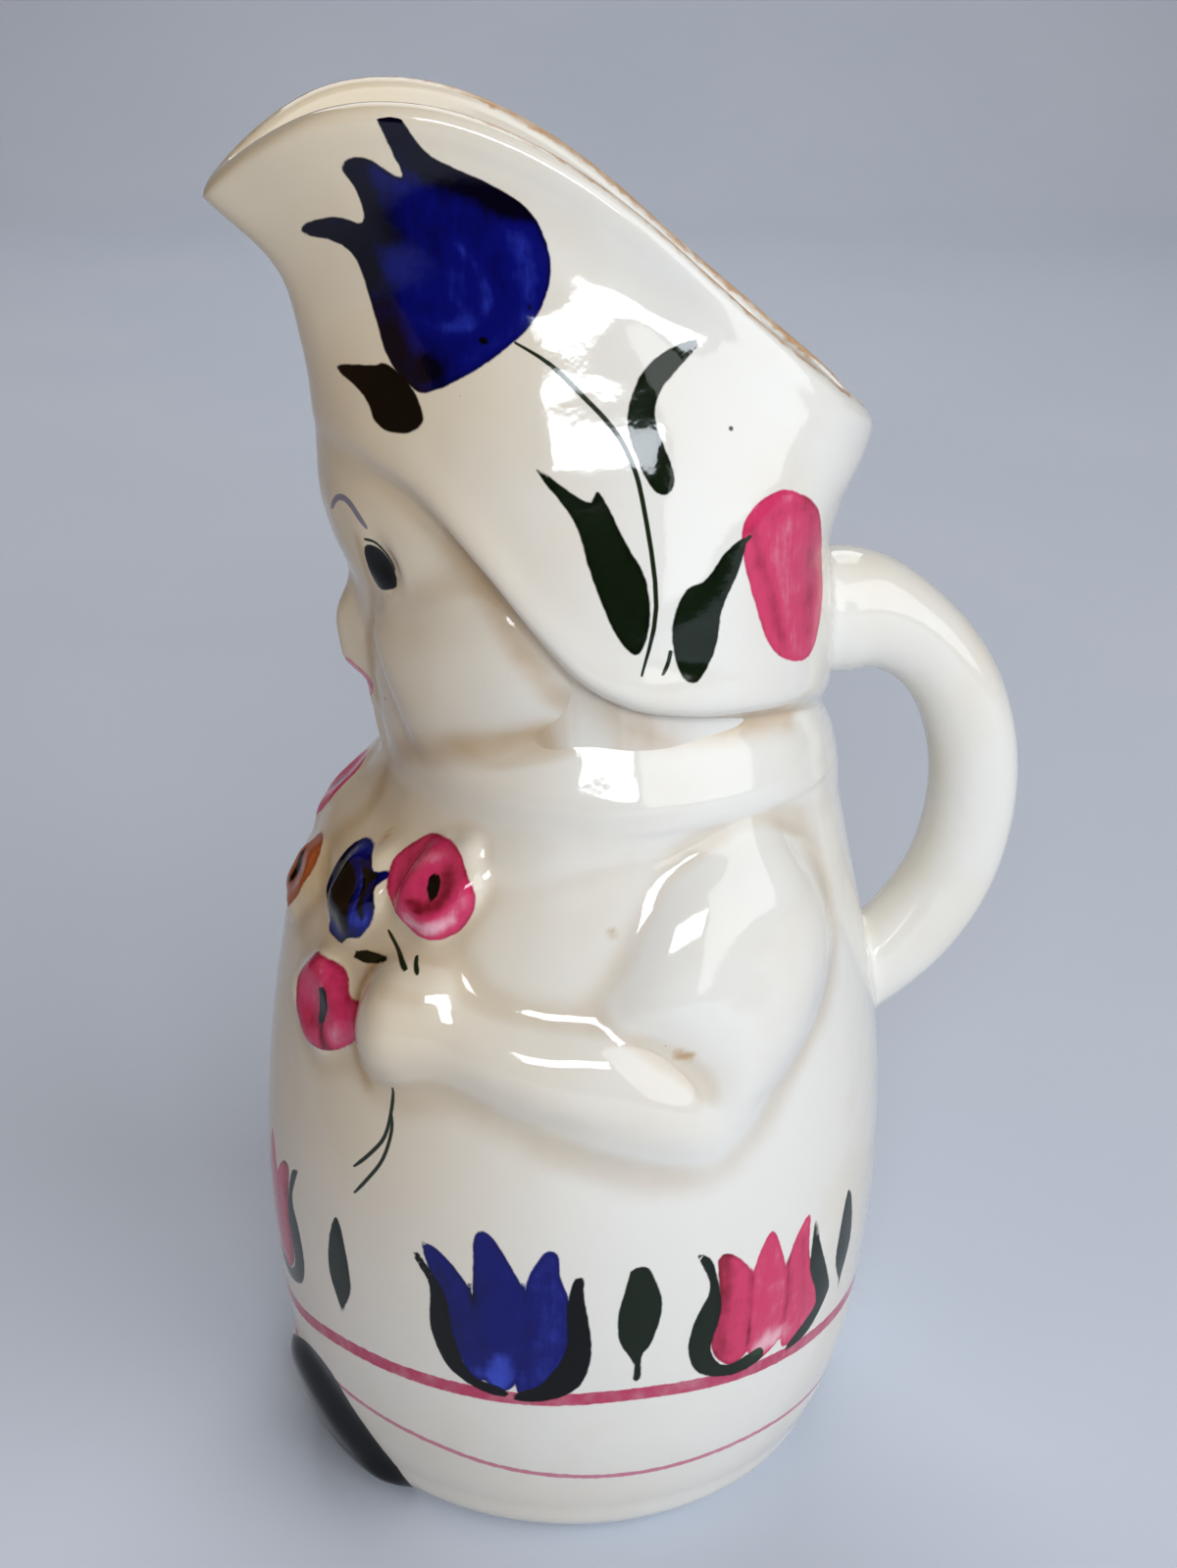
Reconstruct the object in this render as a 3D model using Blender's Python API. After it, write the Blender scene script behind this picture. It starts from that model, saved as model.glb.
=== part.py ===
"""A pottery pitcher cast as a standing doll in a wide bonnet, with a bouquet and a loop handle.

One hollow solid in metres, +Z up, standing on its flat foot at the origin.
The figure looks along -Y, its left hand is on the +X side, and its handle is on the +Y side.
"""

from dataclasses import astuple, dataclass

import bpy
import numpy as np

# Height over the lip. The figure is drawn 252 units tall, so one unit is a millimetre at this height.
HEIGHT = 0.252
DRAWN_HEIGHT = 252.0
UNIT = HEIGHT / DRAWN_HEIGHT

# The casting: its wall, the thicker bottom of the inside, and the rounding of its lip.
WALL = 0.0045
FLOOR = 0.0055
BEAK_WALL_GAIN = 0.6
LIP_STEPS = 3

# The handle: a bent rod, a little wider than thick, that swells where it leaves the bonnet.
HANDLE_THICKNESS = 0.0160
HANDLE_WIDTH = 0.0172
ROOT_SWELL = 1.42
ROOT_SIDE_SHARE = 0.6
ROOT_LENGTH = 0.013
HANDLE_RINGS = 17
HANDLE_SIDES = 12
HANDLE_SQUARENESS = 0.86

# Mesh density round the figure: the step in degrees up to each angle from the front.
COLUMN_STEPS = ((60.0, 3.6), (112.0, 4.7), (180.0, 9.7))
CAVITY_ROWS = 5

# The carving is drawn on a strip wrapped round the figure at this radius, in units.
STRIP_RADIUS = 48.0
OUTLINE_STEPS = 6
DOME_POWER = 1.5

# How fast the pinch of a section fades from the front to the sides, and how its keel is rounded.
PINCH_POWER = 4.0
KEEL_ROUNDING = 0.35
KEEL_POWER = 16.0


@dataclass(frozen=True)
class Section:
    """A level cut through the plain figure, in units.

    front and back are distances from the axis, side is the half width, reached at the distance
    widest behind the axis, and pinch draws the front in towards a narrow spout.
    """

    height: float
    front: float
    back: float
    side: float
    widest: float = 0.0
    pinch: float = 0.0


SECTIONS = (
    Section(0.0, 44.6, 44.6, 44.6),
    Section(1.6, 47.2, 47.2, 47.2),
    Section(9.7, 51.9, 51.9, 51.9),
    Section(19.5, 54.9, 54.9, 54.9),
    Section(38.9, 57.5, 57.5, 57.5),
    Section(58.4, 58.5, 58.4, 58.4),
    Section(77.8, 57.6, 57.6, 57.5),
    Section(98.0, 55.0, 54.8, 54.0),
    Section(116.0, 50.9, 50.6, 49.0),
    Section(128.0, 43.4, 47.8, 45.2, 1.0),
    Section(134.5, 37.0, 46.2, 42.6, 2.0),
    Section(139.5, 34.7, 44.8, 41.4, 3.0),
    Section(147.0, 35.9, 43.2, 41.6, 3.0),
    Section(156.0, 37.8, 43.6, 43.6, 2.0),
    Section(166.0, 39.6, 43.4, 44.4, 2.0),
    Section(173.0, 40.8, 42.6, 44.0, 2.0),
    Section(180.0, 43.7, 42.0, 43.0, 2.5),
    Section(187.0, 45.5, 44.0, 41.4, 3.5, 0.02),
    Section(195.0, 45.9, 47.4, 39.0, 5.0, 0.05),
    Section(203.0, 46.0, 48.4, 36.4, 7.0, 0.10),
    Section(212.0, 47.3, 48.4, 32.6, 9.0, 0.22),
    Section(221.0, 50.0, 48.4, 28.8, 11.0, 0.42),
    Section(236.0, 61.6, 48.4, 25.4, 12.0, 0.72),
    Section(252.0, 78.0, 48.4, 21.6, 12.0, 0.80),
)

# The lip seen from the side: distance behind the axis and height over all, in units.
RIM_PROFILE = (
    (-66.0, 234.0),
    (-62.2, 238.8),
    (-59.2, 241.8),
    (-53.8, 245.9),
    (-48.6, 249.0),
    (-43.3, 251.0),
    (-36.0, 252.0),
    (-28.0, 251.6),
    (-18.0, 248.9),
    (-8.0, 244.3),
    (3.0, 237.3),
    (21.0, 222.6),
    (39.0, 207.8),
    (46.0, 202.2),
    (49.0, 198.4),
)
RIM_SEARCH = (190.0, 256.0)
RIM_SEARCH_STEPS = 30

# Centre line of the handle in the plane x = 0: distance behind the axis and height, in units.
HANDLE_PATH = (
    (35.0, 162.6),
    (43.5, 163.4),
    (52.0, 162.8),
    (60.0, 158.6),
    (67.0, 151.2),
    (71.8, 141.0),
    (73.8, 129.5),
    (73.0, 118.0),
    (69.6, 107.4),
    (63.6, 98.4),
    (56.2, 91.6),
    (47.5, 85.0),
)

# Lower edge of the bonnet: angle from the front and height.
BONNET_EDGE = (
    (0.0, 201.0),
    (17.0, 200.6),
    (33.0, 198.6),
    (46.0, 194.4),
    (61.0, 183.6),
    (70.0, 175.0),
    (79.0, 168.0),
    (89.0, 164.0),
    (105.0, 161.4),
    (120.0, 160.0),
    (140.0, 158.0),
    (160.0, 154.6),
    (180.0, 153.0),
)
# Depth of the face and the neck under that edge: angle from the front and depth.
BONNET_DEPTH = (
    (0.0, 0.5),
    (30.0, 1.8),
    (55.0, 4.4),
    (85.0, 6.4),
    (120.0, 5.2),
    (150.0, 1.8),
    (180.0, 0.9),
)
BONNET_STEP = (-3.4, 0.4)
BONNET_BEAD = 1.0
BONNET_BEAD_WIDTH = 4.5
NECK_FADE = (144.0, 156.0)

# Rows of the outer wall: what a row follows, its height or its distance above that line, and how
# many rows lead up to it.
ROW_GUIDES = (
    ("level", 0.0, 1),
    ("level", 1.6, 1),
    ("level", 24.0, 4),
    ("level", 72.0, 5),
    ("level", 139.0, 20),
    ("edge", -3.4, 17),
    ("edge", 0.6, 2),
    ("edge", 5.0, 1),
    ("rim", -10.0, 5),
    ("rim", -5.0, 1),
    ("rim", -2.2, 1),
    ("rim", 0.0, 1),
)

# The hidden block on which the handle ends.
BLOCK_TOP = 190.0
BLOCK_ROWS = 20

# Distance over which slopes are measured, and the height at the foot and the lip over which
# carving turns level, so that the foot stays flat and the lip keeps its height.
PROBE = 0.4
LEVEL_ENDS = 9.0

# Lip of the bonnet: a roll turned outwards, above a shallow valley.
LIP_ROLL = 1.2
LIP_ROLL_DEPTH = 3.6
LIP_VALLEY = 0.8
LIP_VALLEY_AT = 11.0
LIP_VALLEY_REACH = 6.0
LIP_BACK_SHARE = 0.35

# Upper and lower edge of the shawl: angle from the front and height.
SHAWL_TOP = (
    (0.0, 138.5),
    (23.0, 142.0),
    (45.0, 147.6),
    (61.0, 151.6),
    (90.0, 156.0),
    (114.0, 155.6),
    (180.0, 148.0),
)
SHAWL_HEM = (
    (0.0, 124.0),
    (40.0, 126.0),
    (58.0, 130.0),
    (73.0, 134.0),
    (90.0, 138.6),
    (112.0, 140.5),
    (180.0, 134.0),
)
SHAWL_RISE = 1.3
SHAWL_SOFTNESS = 2.2
# The dip along the collar fades in between these angles.
COLLAR_DIP = 1.2
COLLAR_WIDTH = 3.0
COLLAR_FADE = (40.0, 75.0)

# Outlines of the arm: angle from the front and height.
SLEEVE = (
    (114.0, 140.5),
    (101.0, 134.0),
    (95.0, 127.0),
    (90.0, 118.0),
    (86.5, 111.0),
    (94.0, 105.0),
    (102.0, 98.0),
    (106.5, 88.0),
    (112.0, 87.0),
    (120.0, 93.5),
    (131.0, 101.0),
    (140.0, 110.0),
    (143.0, 120.0),
    (138.0, 131.0),
    (127.0, 139.0),
)
FOREARM = (
    (92.0, 109.5),
    (78.0, 110.5),
    (66.0, 112.5),
    (57.0, 117.5),
    (47.0, 116.5),
    (41.5, 110.0),
    (40.5, 101.0),
    (44.0, 95.2),
    (52.0, 95.4),
    (61.0, 97.0),
    (72.0, 94.0),
    (85.0, 89.4),
    (98.0, 85.6),
    (109.0, 85.4),
    (110.0, 92.0),
    (104.0, 102.0),
)
SLEEVE_RISE = 5.4
SLEEVE_SHOULDER = 14.0
FOREARM_RISE = 4.0
FOREARM_SHOULDER = 8.0
FIST_AT = (48.0, 106.5)
FIST_RADIUS = 10.5
FIST_RISE = 2.6
FINGER_COUNT = 4
FINGER_PITCH = 4.6
FINGER_TOP = 113.2
FINGER_ENDS = (41.5, 50.0)
FINGER_RADIUS = 2.7
FINGER_RISE = 1.5
THUMB = ((47.0, 116.0), (57.0, 114.5))
THUMB_RADIUS = 3.4
THUMB_RISE = 1.6

# The face: centres as angle from the front and height.
NOSE_BRIDGE = (164.5, 173.5)
NOSE_UNDERSIDE = (153.2, 158.2)
NOSE_WIDTH = 4.4
NOSE_RISE = 4.5
UPPER_LIP = 155.6
LOWER_LIP = 150.6
LIP_WIDTH = 6.4
LIP_HEIGHT = 2.2
UPPER_LIP_RISE = 1.4
LOWER_LIP_RISE = 1.8
CHIN = 143.8
CHIN_RADIUS = 6.5
CHIN_RISE = 1.3
CHEEK = (
    (17.0, 169.5),
    (18.0, 161.0),
    (23.0, 153.0),
    (31.0, 147.5),
    (45.0, 148.0),
    (60.0, 155.0),
    (70.0, 165.0),
    (62.0, 175.0),
    (48.0, 178.0),
    (34.0, 174.0),
)
CHEEK_RISE = 3.4
CHEEK_SHOULDER = 11.0
EYE_AT = (31.0, 180.4)
EYE_RADIUS = 7.5
EYE_DEPTH = 1.7
EYELID_RADIUS = 4.65
EYELID_WIDTH = 1.6
EYELID_RISE = 0.9


@dataclass(frozen=True)
class Flower:
    """A raised flower of the bouquet: its centre on the strip, its radius and how far it stands out."""

    angle: float
    height: float
    radius: float
    rise: float
    petals: int


BOUQUET = (
    Flower(49.5, 129.0, 8.2, 3.4, 5),
    Flower(30.5, 123.6, 7.2, 3.2, 5),
    Flower(8.0, 118.0, 6.6, 2.6, 5),
    Flower(29.5, 103.4, 8.6, 3.4, 4),
    Flower(-11.0, 129.5, 7.4, 1.9, 5),
)
FLOWER_RIM = 0.34
FLOWER_HEART = 0.60
HEART_DEPTH = 0.42
PETAL_WAVE = 0.09

# A shoe at the front of the foot: angle from the front and height.
SHOE = (
    (4.0, -4.0),
    (3.5, 10.0),
    (7.0, 20.0),
    (16.0, 24.5),
    (27.0, 22.5),
    (36.0, 16.0),
    (43.0, 8.0),
    (47.0, -1.0),
    (40.0, -6.0),
)
SHOE_RISE = 3.0
SHOE_SHOULDER = 5.0

GLAZE = (0.86, 0.82, 0.74, 1.0)
GLAZE_ROUGHNESS = 0.12
# Edges that bend more than this many degrees are drawn sharp.
SHARP_ANGLE = 50.0


def clear_scene():
    for obj in list(bpy.data.objects):
        bpy.data.objects.remove(obj, do_unlink=True)


def smooth_step(value, low, high):
    """0 below low, 1 above high and an even S between."""
    t = np.clip((value - low) / (high - low), 0.0, 1.0)
    return t * t * (3.0 - 2.0 * t)


def smooth_table(knots, rows, at):
    """Read a table between its rows with a smooth cubic through all of them."""
    knots = np.asarray(knots, float)
    rows = np.asarray(rows, float)
    at = np.asarray(at, float)
    gaps = np.diff(knots)
    slopes = np.diff(rows, axis=0) / gaps[:, None]
    tangents = np.empty_like(rows)
    tangents[0] = slopes[0]
    tangents[-1] = slopes[-1]
    weight = (gaps[:-1] / (gaps[1:] + gaps[:-1]))[:, None]
    tangents[1:-1] = slopes[:-1] * (1.0 - weight) + slopes[1:] * weight
    index = np.clip(np.searchsorted(knots, at) - 1, 0, len(gaps) - 1)
    gap = gaps[index][..., None]
    t = (at - knots[index])[..., None] / gap
    start = (1.0 + 2.0 * t) * (1.0 - t) ** 2 * rows[index]
    leave = t * (1.0 - t) ** 2 * gap * tangents[index]
    end = t * t * (3.0 - 2.0 * t) * rows[index + 1]
    arrive = t * t * (t - 1.0) * gap * tangents[index + 1]
    return start + leave + end + arrive


def edge_at(edge, angle):
    """Height of an edge given as (angle, height) points, the same on both sides of the figure."""
    points = np.array(edge)
    return smooth_table(points[:, 0], points[:, 1:], np.abs(angle))[..., 0]


SECTION_ROWS = np.array([astuple(section) for section in SECTIONS])
SECTION_HEIGHTS = SECTION_ROWS[:, 0]


def section_at(height):
    """front, back, side, widest and pinch at a height, in units."""
    return np.moveaxis(smooth_table(SECTION_HEIGHTS, SECTION_ROWS[:, 1:], height), -1, 0)


def plain_form(height, angle, inset=0.0):
    """Points, in units, of the plain figure without its carving, drawn in by inset."""
    height, angle = np.broadcast_arrays(np.asarray(height, float), np.asarray(angle, float))
    front, back, side, widest, pinch = section_at(height)
    if inset:
        slopes = (section_at(height + PROBE) - section_at(height - PROBE)) / (2.0 * PROBE)
        gain = np.sqrt(1.0 + slopes[:3] ** 2)
        front = front - inset * gain[0] * (1.0 + BEAK_WALL_GAIN * pinch)
        back = back - inset * gain[1]
        side = side - inset * gain[2]
    turn = np.radians(angle)
    ahead = np.cos(turn)
    depth = np.where(ahead > 0.0, front + widest, back - widest)
    front_share = np.clip(ahead, 0.0, 1.0)
    pinch = pinch * (front_share**PINCH_POWER - KEEL_ROUNDING * front_share**KEEL_POWER)
    x = side * np.sin(turn) * (1.0 - pinch)
    return np.stack([x, widest - depth * ahead, height], axis=-1)


def outward(height, angle):
    """Unit normals of the plain figure."""
    upwards = plain_form(height + PROBE, angle) - plain_form(height - PROBE, angle)
    sideways = plain_form(height, angle + PROBE) - plain_form(height, angle - PROBE)
    normal = np.cross(sideways, upwards)
    return normal / np.linalg.norm(normal, axis=-1, keepdims=True)


def rim_at(angle, inset=0.0):
    """Height at which each column of the wall meets the lip's profile, below its rounding."""
    profile = np.array(RIM_PROFILE)
    low = np.full(np.shape(angle), RIM_SEARCH[0])
    high = np.full(np.shape(angle), RIM_SEARCH[1])
    for _ in range(RIM_SEARCH_STEPS):
        middle = (low + high) / 2.0
        across = plain_form(middle, angle, inset)[..., 1]
        wanted = smooth_table(profile[:, 0], profile[:, 1:], across)[..., 0]
        low = np.where(middle < wanted, middle, low)
        high = np.where(middle < wanted, high, middle)
    return (low + high) / 2.0 - WALL / UNIT / 2.0


def closed_curve(points):
    """A smooth closed outline through a few points, as points on the strip in units."""
    corners = np.array(points, float)
    corners[:, 0] = np.radians(corners[:, 0]) * STRIP_RADIUS
    count = len(corners)
    line = []
    for i in range(count):
        before, start, end, after = (corners[(i + k) % count] for k in (-1, 0, 1, 2))
        for t in np.linspace(0.0, 1.0, OUTLINE_STEPS, endpoint=False):
            bend = (2 * before - 5 * start + 4 * end - after) * t * t
            twist = (3 * start - before - 3 * end + after) * t**3
            line.append(0.5 * (2 * start + (end - before) * t + bend + twist))
    return np.array(line)


def depth_inside(outline, arc, height):
    """Distance from the outline for points inside it, and its negative for points outside."""
    starts = closed_curve(outline)
    ends = np.roll(starts, -1, axis=0)
    nearest = np.full(arc.shape, np.inf)
    inside = np.zeros(arc.shape, bool)
    for (ax, az), (bx, bz) in zip(starts, ends):
        length = (bx - ax) ** 2 + (bz - az) ** 2
        t = np.clip(((arc - ax) * (bx - ax) + (height - az) * (bz - az)) / length, 0.0, 1.0)
        nearest = np.minimum(nearest, np.hypot(arc - ax - t * (bx - ax), height - az - t * (bz - az)))
        crosses = (az > height) != (bz > height)
        beyond = arc < ax + (height - az) * (bx - ax) / np.where(bz == az, 1.0, bz - az)
        inside ^= crosses & beyond
    return np.where(inside, nearest, -nearest)


def cushion(depth, shoulder):
    """0 at an outline and 1 from the shoulder inwards, round like the edge of a cushion."""
    t = np.clip(depth / shoulder, 0.0, 1.0)
    return t * (2.0 - t)


def dome(distance, radius):
    """1 at the centre, 0 from the radius outwards."""
    return np.clip(1.0 - (distance / radius) ** 2, 0.0, 1.0) ** DOME_POWER


def segment_distance(arc, height, start, end):
    """Distance to a straight line between two (angle, height) points."""
    ax, az = np.radians(start[0]) * STRIP_RADIUS, start[1]
    bx, bz = np.radians(end[0]) * STRIP_RADIUS, end[1]
    length = (bx - ax) ** 2 + (bz - az) ** 2
    t = np.clip(((arc - ax) * (bx - ax) + (height - az) * (bz - az)) / length, 0.0, 1.0)
    return np.hypot(arc - ax - t * (bx - ax), height - az - t * (bz - az))


def spot_distance(arc, height, spot):
    """Distance to an (angle, height) point."""
    return np.hypot(arc - np.radians(spot[0]) * STRIP_RADIUS, height - spot[1])


def bonnet_relief(angle, height):
    """The face and neck lie deeper than the bonnet, whose lower edge is a soft bead."""
    above = height - edge_at(BONNET_EDGE, angle)
    under = 1.0 - smooth_step(above, *BONNET_STEP)
    neck = smooth_step(height, *NECK_FADE)
    depth = edge_at(BONNET_DEPTH, angle)
    bead = BONNET_BEAD * np.exp(-(((above - BONNET_BEAD_WIDTH / 2) / BONNET_BEAD_WIDTH) ** 2))
    weight = depth / max(deep for _, deep in BONNET_DEPTH)
    return bead * weight * (1.0 - under) - depth * under * neck


def lip_relief(angle, height, rim_height):
    """The roll and the valley under it, fuller towards the spout."""
    below = rim_height - height
    ahead = (1.0 + np.cos(np.radians(angle))) / 2.0
    roll = LIP_ROLL * np.exp(-((below / LIP_ROLL_DEPTH) ** 2))
    valley = LIP_VALLEY * np.exp(-(((below - LIP_VALLEY_AT) / LIP_VALLEY_REACH) ** 2))
    return (roll - valley) * (LIP_BACK_SHARE + (1.0 - LIP_BACK_SHARE) * ahead)


def shawl_relief(angle, height):
    """A shawl over the shoulders: a dip at the collar and a soft step at the hem."""
    hem = smooth_step(height - edge_at(SHAWL_HEM, angle), -SHAWL_SOFTNESS, SHAWL_SOFTNESS)
    top = height - edge_at(SHAWL_TOP, angle)
    cloth = 1.0 - smooth_step(top, -SHAWL_SOFTNESS, SHAWL_SOFTNESS)
    dip = COLLAR_DIP * np.exp(-((top / COLLAR_WIDTH) ** 2)) * smooth_step(np.abs(angle), *COLLAR_FADE)
    return SHAWL_RISE * hem * cloth - dip


def arm_relief(arc, height):
    """Puffed sleeve, forearm and fist with its fingers and thumb, the same on both sides."""
    side = np.abs(arc)
    sleeve = SLEEVE_RISE * cushion(depth_inside(SLEEVE, side, height), SLEEVE_SHOULDER)
    forearm = FOREARM_RISE * cushion(depth_inside(FOREARM, side, height), FOREARM_SHOULDER)
    fist = FIST_RISE * dome(spot_distance(side, height, FIST_AT), FIST_RADIUS)
    fingers = np.zeros_like(side)
    for i in range(FINGER_COUNT):
        level = FINGER_TOP - i * FINGER_PITCH
        away = segment_distance(side, height, (FINGER_ENDS[0], level), (FINGER_ENDS[1], level))
        fingers = np.maximum(fingers, FINGER_RISE * dome(away, FINGER_RADIUS))
    thumb = THUMB_RISE * dome(segment_distance(side, height, *THUMB), THUMB_RADIUS)
    hand = fist + np.maximum(fingers, thumb)
    return np.maximum(sleeve, forearm + hand * (forearm > 0.0))


def face_relief(arc, height):
    """A plain doll's face: small nose, pursed lips, round chin, full cheeks and sunk eyes."""
    side = np.abs(arc)
    above = 1.0 - smooth_step(height, *NOSE_BRIDGE)
    below = smooth_step(height, *NOSE_UNDERSIDE)
    nose = NOSE_RISE * above * below * np.exp(-((side / NOSE_WIDTH) ** 2))
    mouth = np.exp(-((side / LIP_WIDTH) ** 2))
    upper = UPPER_LIP_RISE * np.exp(-(((height - UPPER_LIP) / LIP_HEIGHT) ** 2))
    lower = LOWER_LIP_RISE * np.exp(-(((height - LOWER_LIP) / LIP_HEIGHT) ** 2))
    chin = CHIN_RISE * dome(spot_distance(side, height, (0.0, CHIN)), CHIN_RADIUS)
    cheek = CHEEK_RISE * cushion(depth_inside(CHEEK, side, height), CHEEK_SHOULDER)
    from_eye = spot_distance(side, height, EYE_AT)
    socket = -EYE_DEPTH * dome(from_eye, EYE_RADIUS)
    lid = EYELID_RISE * np.exp(-(((from_eye - EYELID_RADIUS) / EYELID_WIDTH) ** 2))
    return nose + mouth * (upper + lower) + chin + cheek + socket + lid


def flower_relief(flower, arc, height):
    """A cupped flower: a ring of petals round a sunk heart."""
    across = arc - np.radians(flower.angle) * STRIP_RADIUS
    up = height - flower.height
    wave = 1.0 + PETAL_WAVE * np.cos(flower.petals * np.arctan2(up, across))
    reach = np.hypot(across, up) / (flower.radius * wave)
    ring = cushion(1.0 - reach, FLOWER_RIM)
    heart = HEART_DEPTH * dome(reach, FLOWER_HEART)
    return flower.rise * ring * (1.0 - heart)


def carving(height, angle, rim_height):
    """How far the carved surface stands out from the plain figure, in units."""
    height, angle, rim_height = np.broadcast_arrays(height, angle, rim_height)
    arc = np.radians(angle) * STRIP_RADIUS
    relief = bonnet_relief(angle, height)
    relief += lip_relief(angle, height, rim_height)
    relief += face_relief(arc, height)
    shoe = SHOE_RISE * cushion(depth_inside(SHOE, np.abs(arc), height), SHOE_SHOULDER)
    raised = np.maximum(shawl_relief(angle, height) + arm_relief(arc, height), shoe)
    for flower in BOUQUET:
        raised = np.maximum(raised, flower_relief(flower, arc, height))
    return relief + raised


def carved_form(height, angle, rim_height):
    """Points, in units, of the carved figure. The carving stands out level at the foot and at the lip."""
    direction = outward(height, angle)
    direction[..., 2] *= smooth_step(height, 0.0, LEVEL_ENDS)
    direction[..., 2] *= smooth_step(rim_height - height, 0.0, LEVEL_ENDS)
    return plain_form(height, angle) + direction * carving(height, angle, rim_height)[..., None]


def stepped(start, steps):
    """Values from start on, with the step that holds up to each limit."""
    values = [start]
    for limit, step in steps:
        count = max(1, round((limit - values[-1]) / step))
        values.extend(np.linspace(values[-1], limit, count + 1)[1:])
    return np.array(values)


def column_angles():
    right = stepped(0.0, COLUMN_STEPS)
    return np.concatenate([right, -right[-2:0:-1]])


def row_heights(angles, rim_height):
    """Heights of the outer rows: level on the skirt, along the bonnet's edge, then along the lip."""
    lines = {"level": np.zeros_like(angles), "edge": edge_at(BONNET_EDGE, angles), "rim": rim_height}
    rows = []
    for line, offset, count in ROW_GUIDES:
        target = lines[line] + offset
        start = rows[-1] if rows else target
        rows.extend(start + (target - start) * k / count for k in range(1, count + 1))
    return np.array(rows)


def lip_rings(outer, inner):
    """Rings of a rounded lip from the top of the outer wall over to the inner wall."""
    middle = (outer + inner) / 2.0
    half = (outer - inner) / 2.0
    rise = np.array([0.0, 0.0, WALL / UNIT / 2.0])
    rings = []
    for k in range(1, LIP_STEPS):
        turn = np.pi * k / LIP_STEPS
        rings.append(middle + half * np.cos(turn) + rise * np.sin(turn))
    return rings


def mesh_from_rings(name, rings):
    """A closed mesh from rings with the same number of points, its first and last ring filled flat."""
    count = len(rings[0])
    vertices = np.concatenate(rings)
    faces = [tuple(reversed(range(count)))]
    for ring in range(len(rings) - 1):
        low = ring * count
        high = low + count
        for i in range(count):
            j = (i + 1) % count
            faces.append((low + i, low + j, high + j, high + i))
    top = (len(rings) - 1) * count
    faces.append(tuple(range(top, top + count)))
    mesh = bpy.data.meshes.new(name)
    mesh.from_pydata([tuple(map(float, v)) for v in vertices], [], faces)
    mesh.validate()
    mesh.update()
    return mesh


def body_mesh():
    """Outer wall from the foot up, lip, and inner wall down to the floor, as one closed mesh."""
    angles = column_angles()
    rim = rim_at(angles)
    rows = row_heights(angles, rim)
    outer = carved_form(rows, angles[None, :], rim[None, :])
    floor = FLOOR / UNIT
    inner_rim = rim_at(angles, WALL / UNIT)
    depths = inner_rim + (floor - inner_rim) * np.linspace(0.0, 1.0, CAVITY_ROWS + 1)[:, None]
    inner = plain_form(depths, angles[None, :], WALL / UNIT)
    rings = list(outer) + lip_rings(outer[-1], inner[0]) + list(inner)
    return mesh_from_rings("pitcher", [ring * UNIT for ring in rings])


def mid_wall_mesh():
    """A closed block whose skin runs through the middle of the wall: the handle ends on it."""
    angles = column_angles()
    heights = np.linspace(FLOOR / UNIT, BLOCK_TOP, BLOCK_ROWS)
    rings = plain_form(heights[:, None], angles[None, :], WALL / UNIT / 2.0)
    return mesh_from_rings("mid_wall", [ring * UNIT for ring in rings])


def handle_mesh():
    """A bent rod with a squarish round section, swollen at its upper root."""
    knots = np.array(HANDLE_PATH)
    run = np.concatenate([[0.0], np.cumsum(np.linalg.norm(np.diff(knots, axis=0), axis=1))])
    along = np.linspace(0.0, run[-1], HANDLE_RINGS)
    centre = smooth_table(run, knots, along) * UNIT
    ahead = smooth_table(run, knots, along + PROBE) - smooth_table(run, knots, along - PROBE)
    ahead /= np.linalg.norm(ahead, axis=1, keepdims=True)
    root = run[1] * UNIT
    past = np.maximum(along * UNIT - root, 0.0)
    swell = (ROOT_SWELL - 1.0) * np.exp(-((past / ROOT_LENGTH) ** 2))
    turns = np.linspace(0.0, 2.0 * np.pi, HANDLE_SIDES, endpoint=False)
    wide = np.sign(np.cos(turns)) * np.abs(np.cos(turns)) ** HANDLE_SQUARENESS
    thick = np.sign(np.sin(turns)) * np.abs(np.sin(turns)) ** HANDLE_SQUARENESS
    rings = []
    for (y, z), (dy, dz), grow in zip(centre, ahead, swell):
        x = wide * HANDLE_WIDTH / 2.0 * (1.0 + ROOT_SIDE_SHARE * grow)
        out = thick * HANDLE_THICKNESS / 2.0 * (1.0 + grow)
        rings.append(np.stack([x, y + out * dz, z - out * dy], axis=-1))
    return mesh_from_rings("handle", rings)


def add_object(mesh, helper=False):
    obj = bpy.data.objects.new(mesh.name, mesh)
    bpy.context.scene.collection.objects.link(obj)
    if helper:
        obj.hide_render = True
        obj.display_type = "WIRE"
    return obj


def add_boolean(obj, operation, other):
    cut = obj.modifiers.new(operation.title(), "BOOLEAN")
    cut.operation = operation
    cut.solver = "EXACT"
    cut.object = other


def glaze_material():
    material = bpy.data.materials.new("cream_glaze")
    material.use_nodes = True
    shader = material.node_tree.nodes["Principled BSDF"]
    shader.inputs["Base Color"].default_value = GLAZE
    shader.inputs["Roughness"].default_value = GLAZE_ROUGHNESS
    shader.inputs["Metallic"].default_value = 0.0
    return material


def build_pitcher():
    pitcher = add_object(body_mesh())
    handle = add_object(handle_mesh(), helper=True)
    add_boolean(handle, "DIFFERENCE", add_object(mid_wall_mesh(), helper=True))
    add_boolean(pitcher, "UNION", handle)
    pitcher.data.materials.append(glaze_material())
    pitcher.data.shade_smooth()
    pitcher.data.set_sharp_from_angle(angle=np.radians(SHARP_ANGLE))


clear_scene()
build_pitcher()
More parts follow.
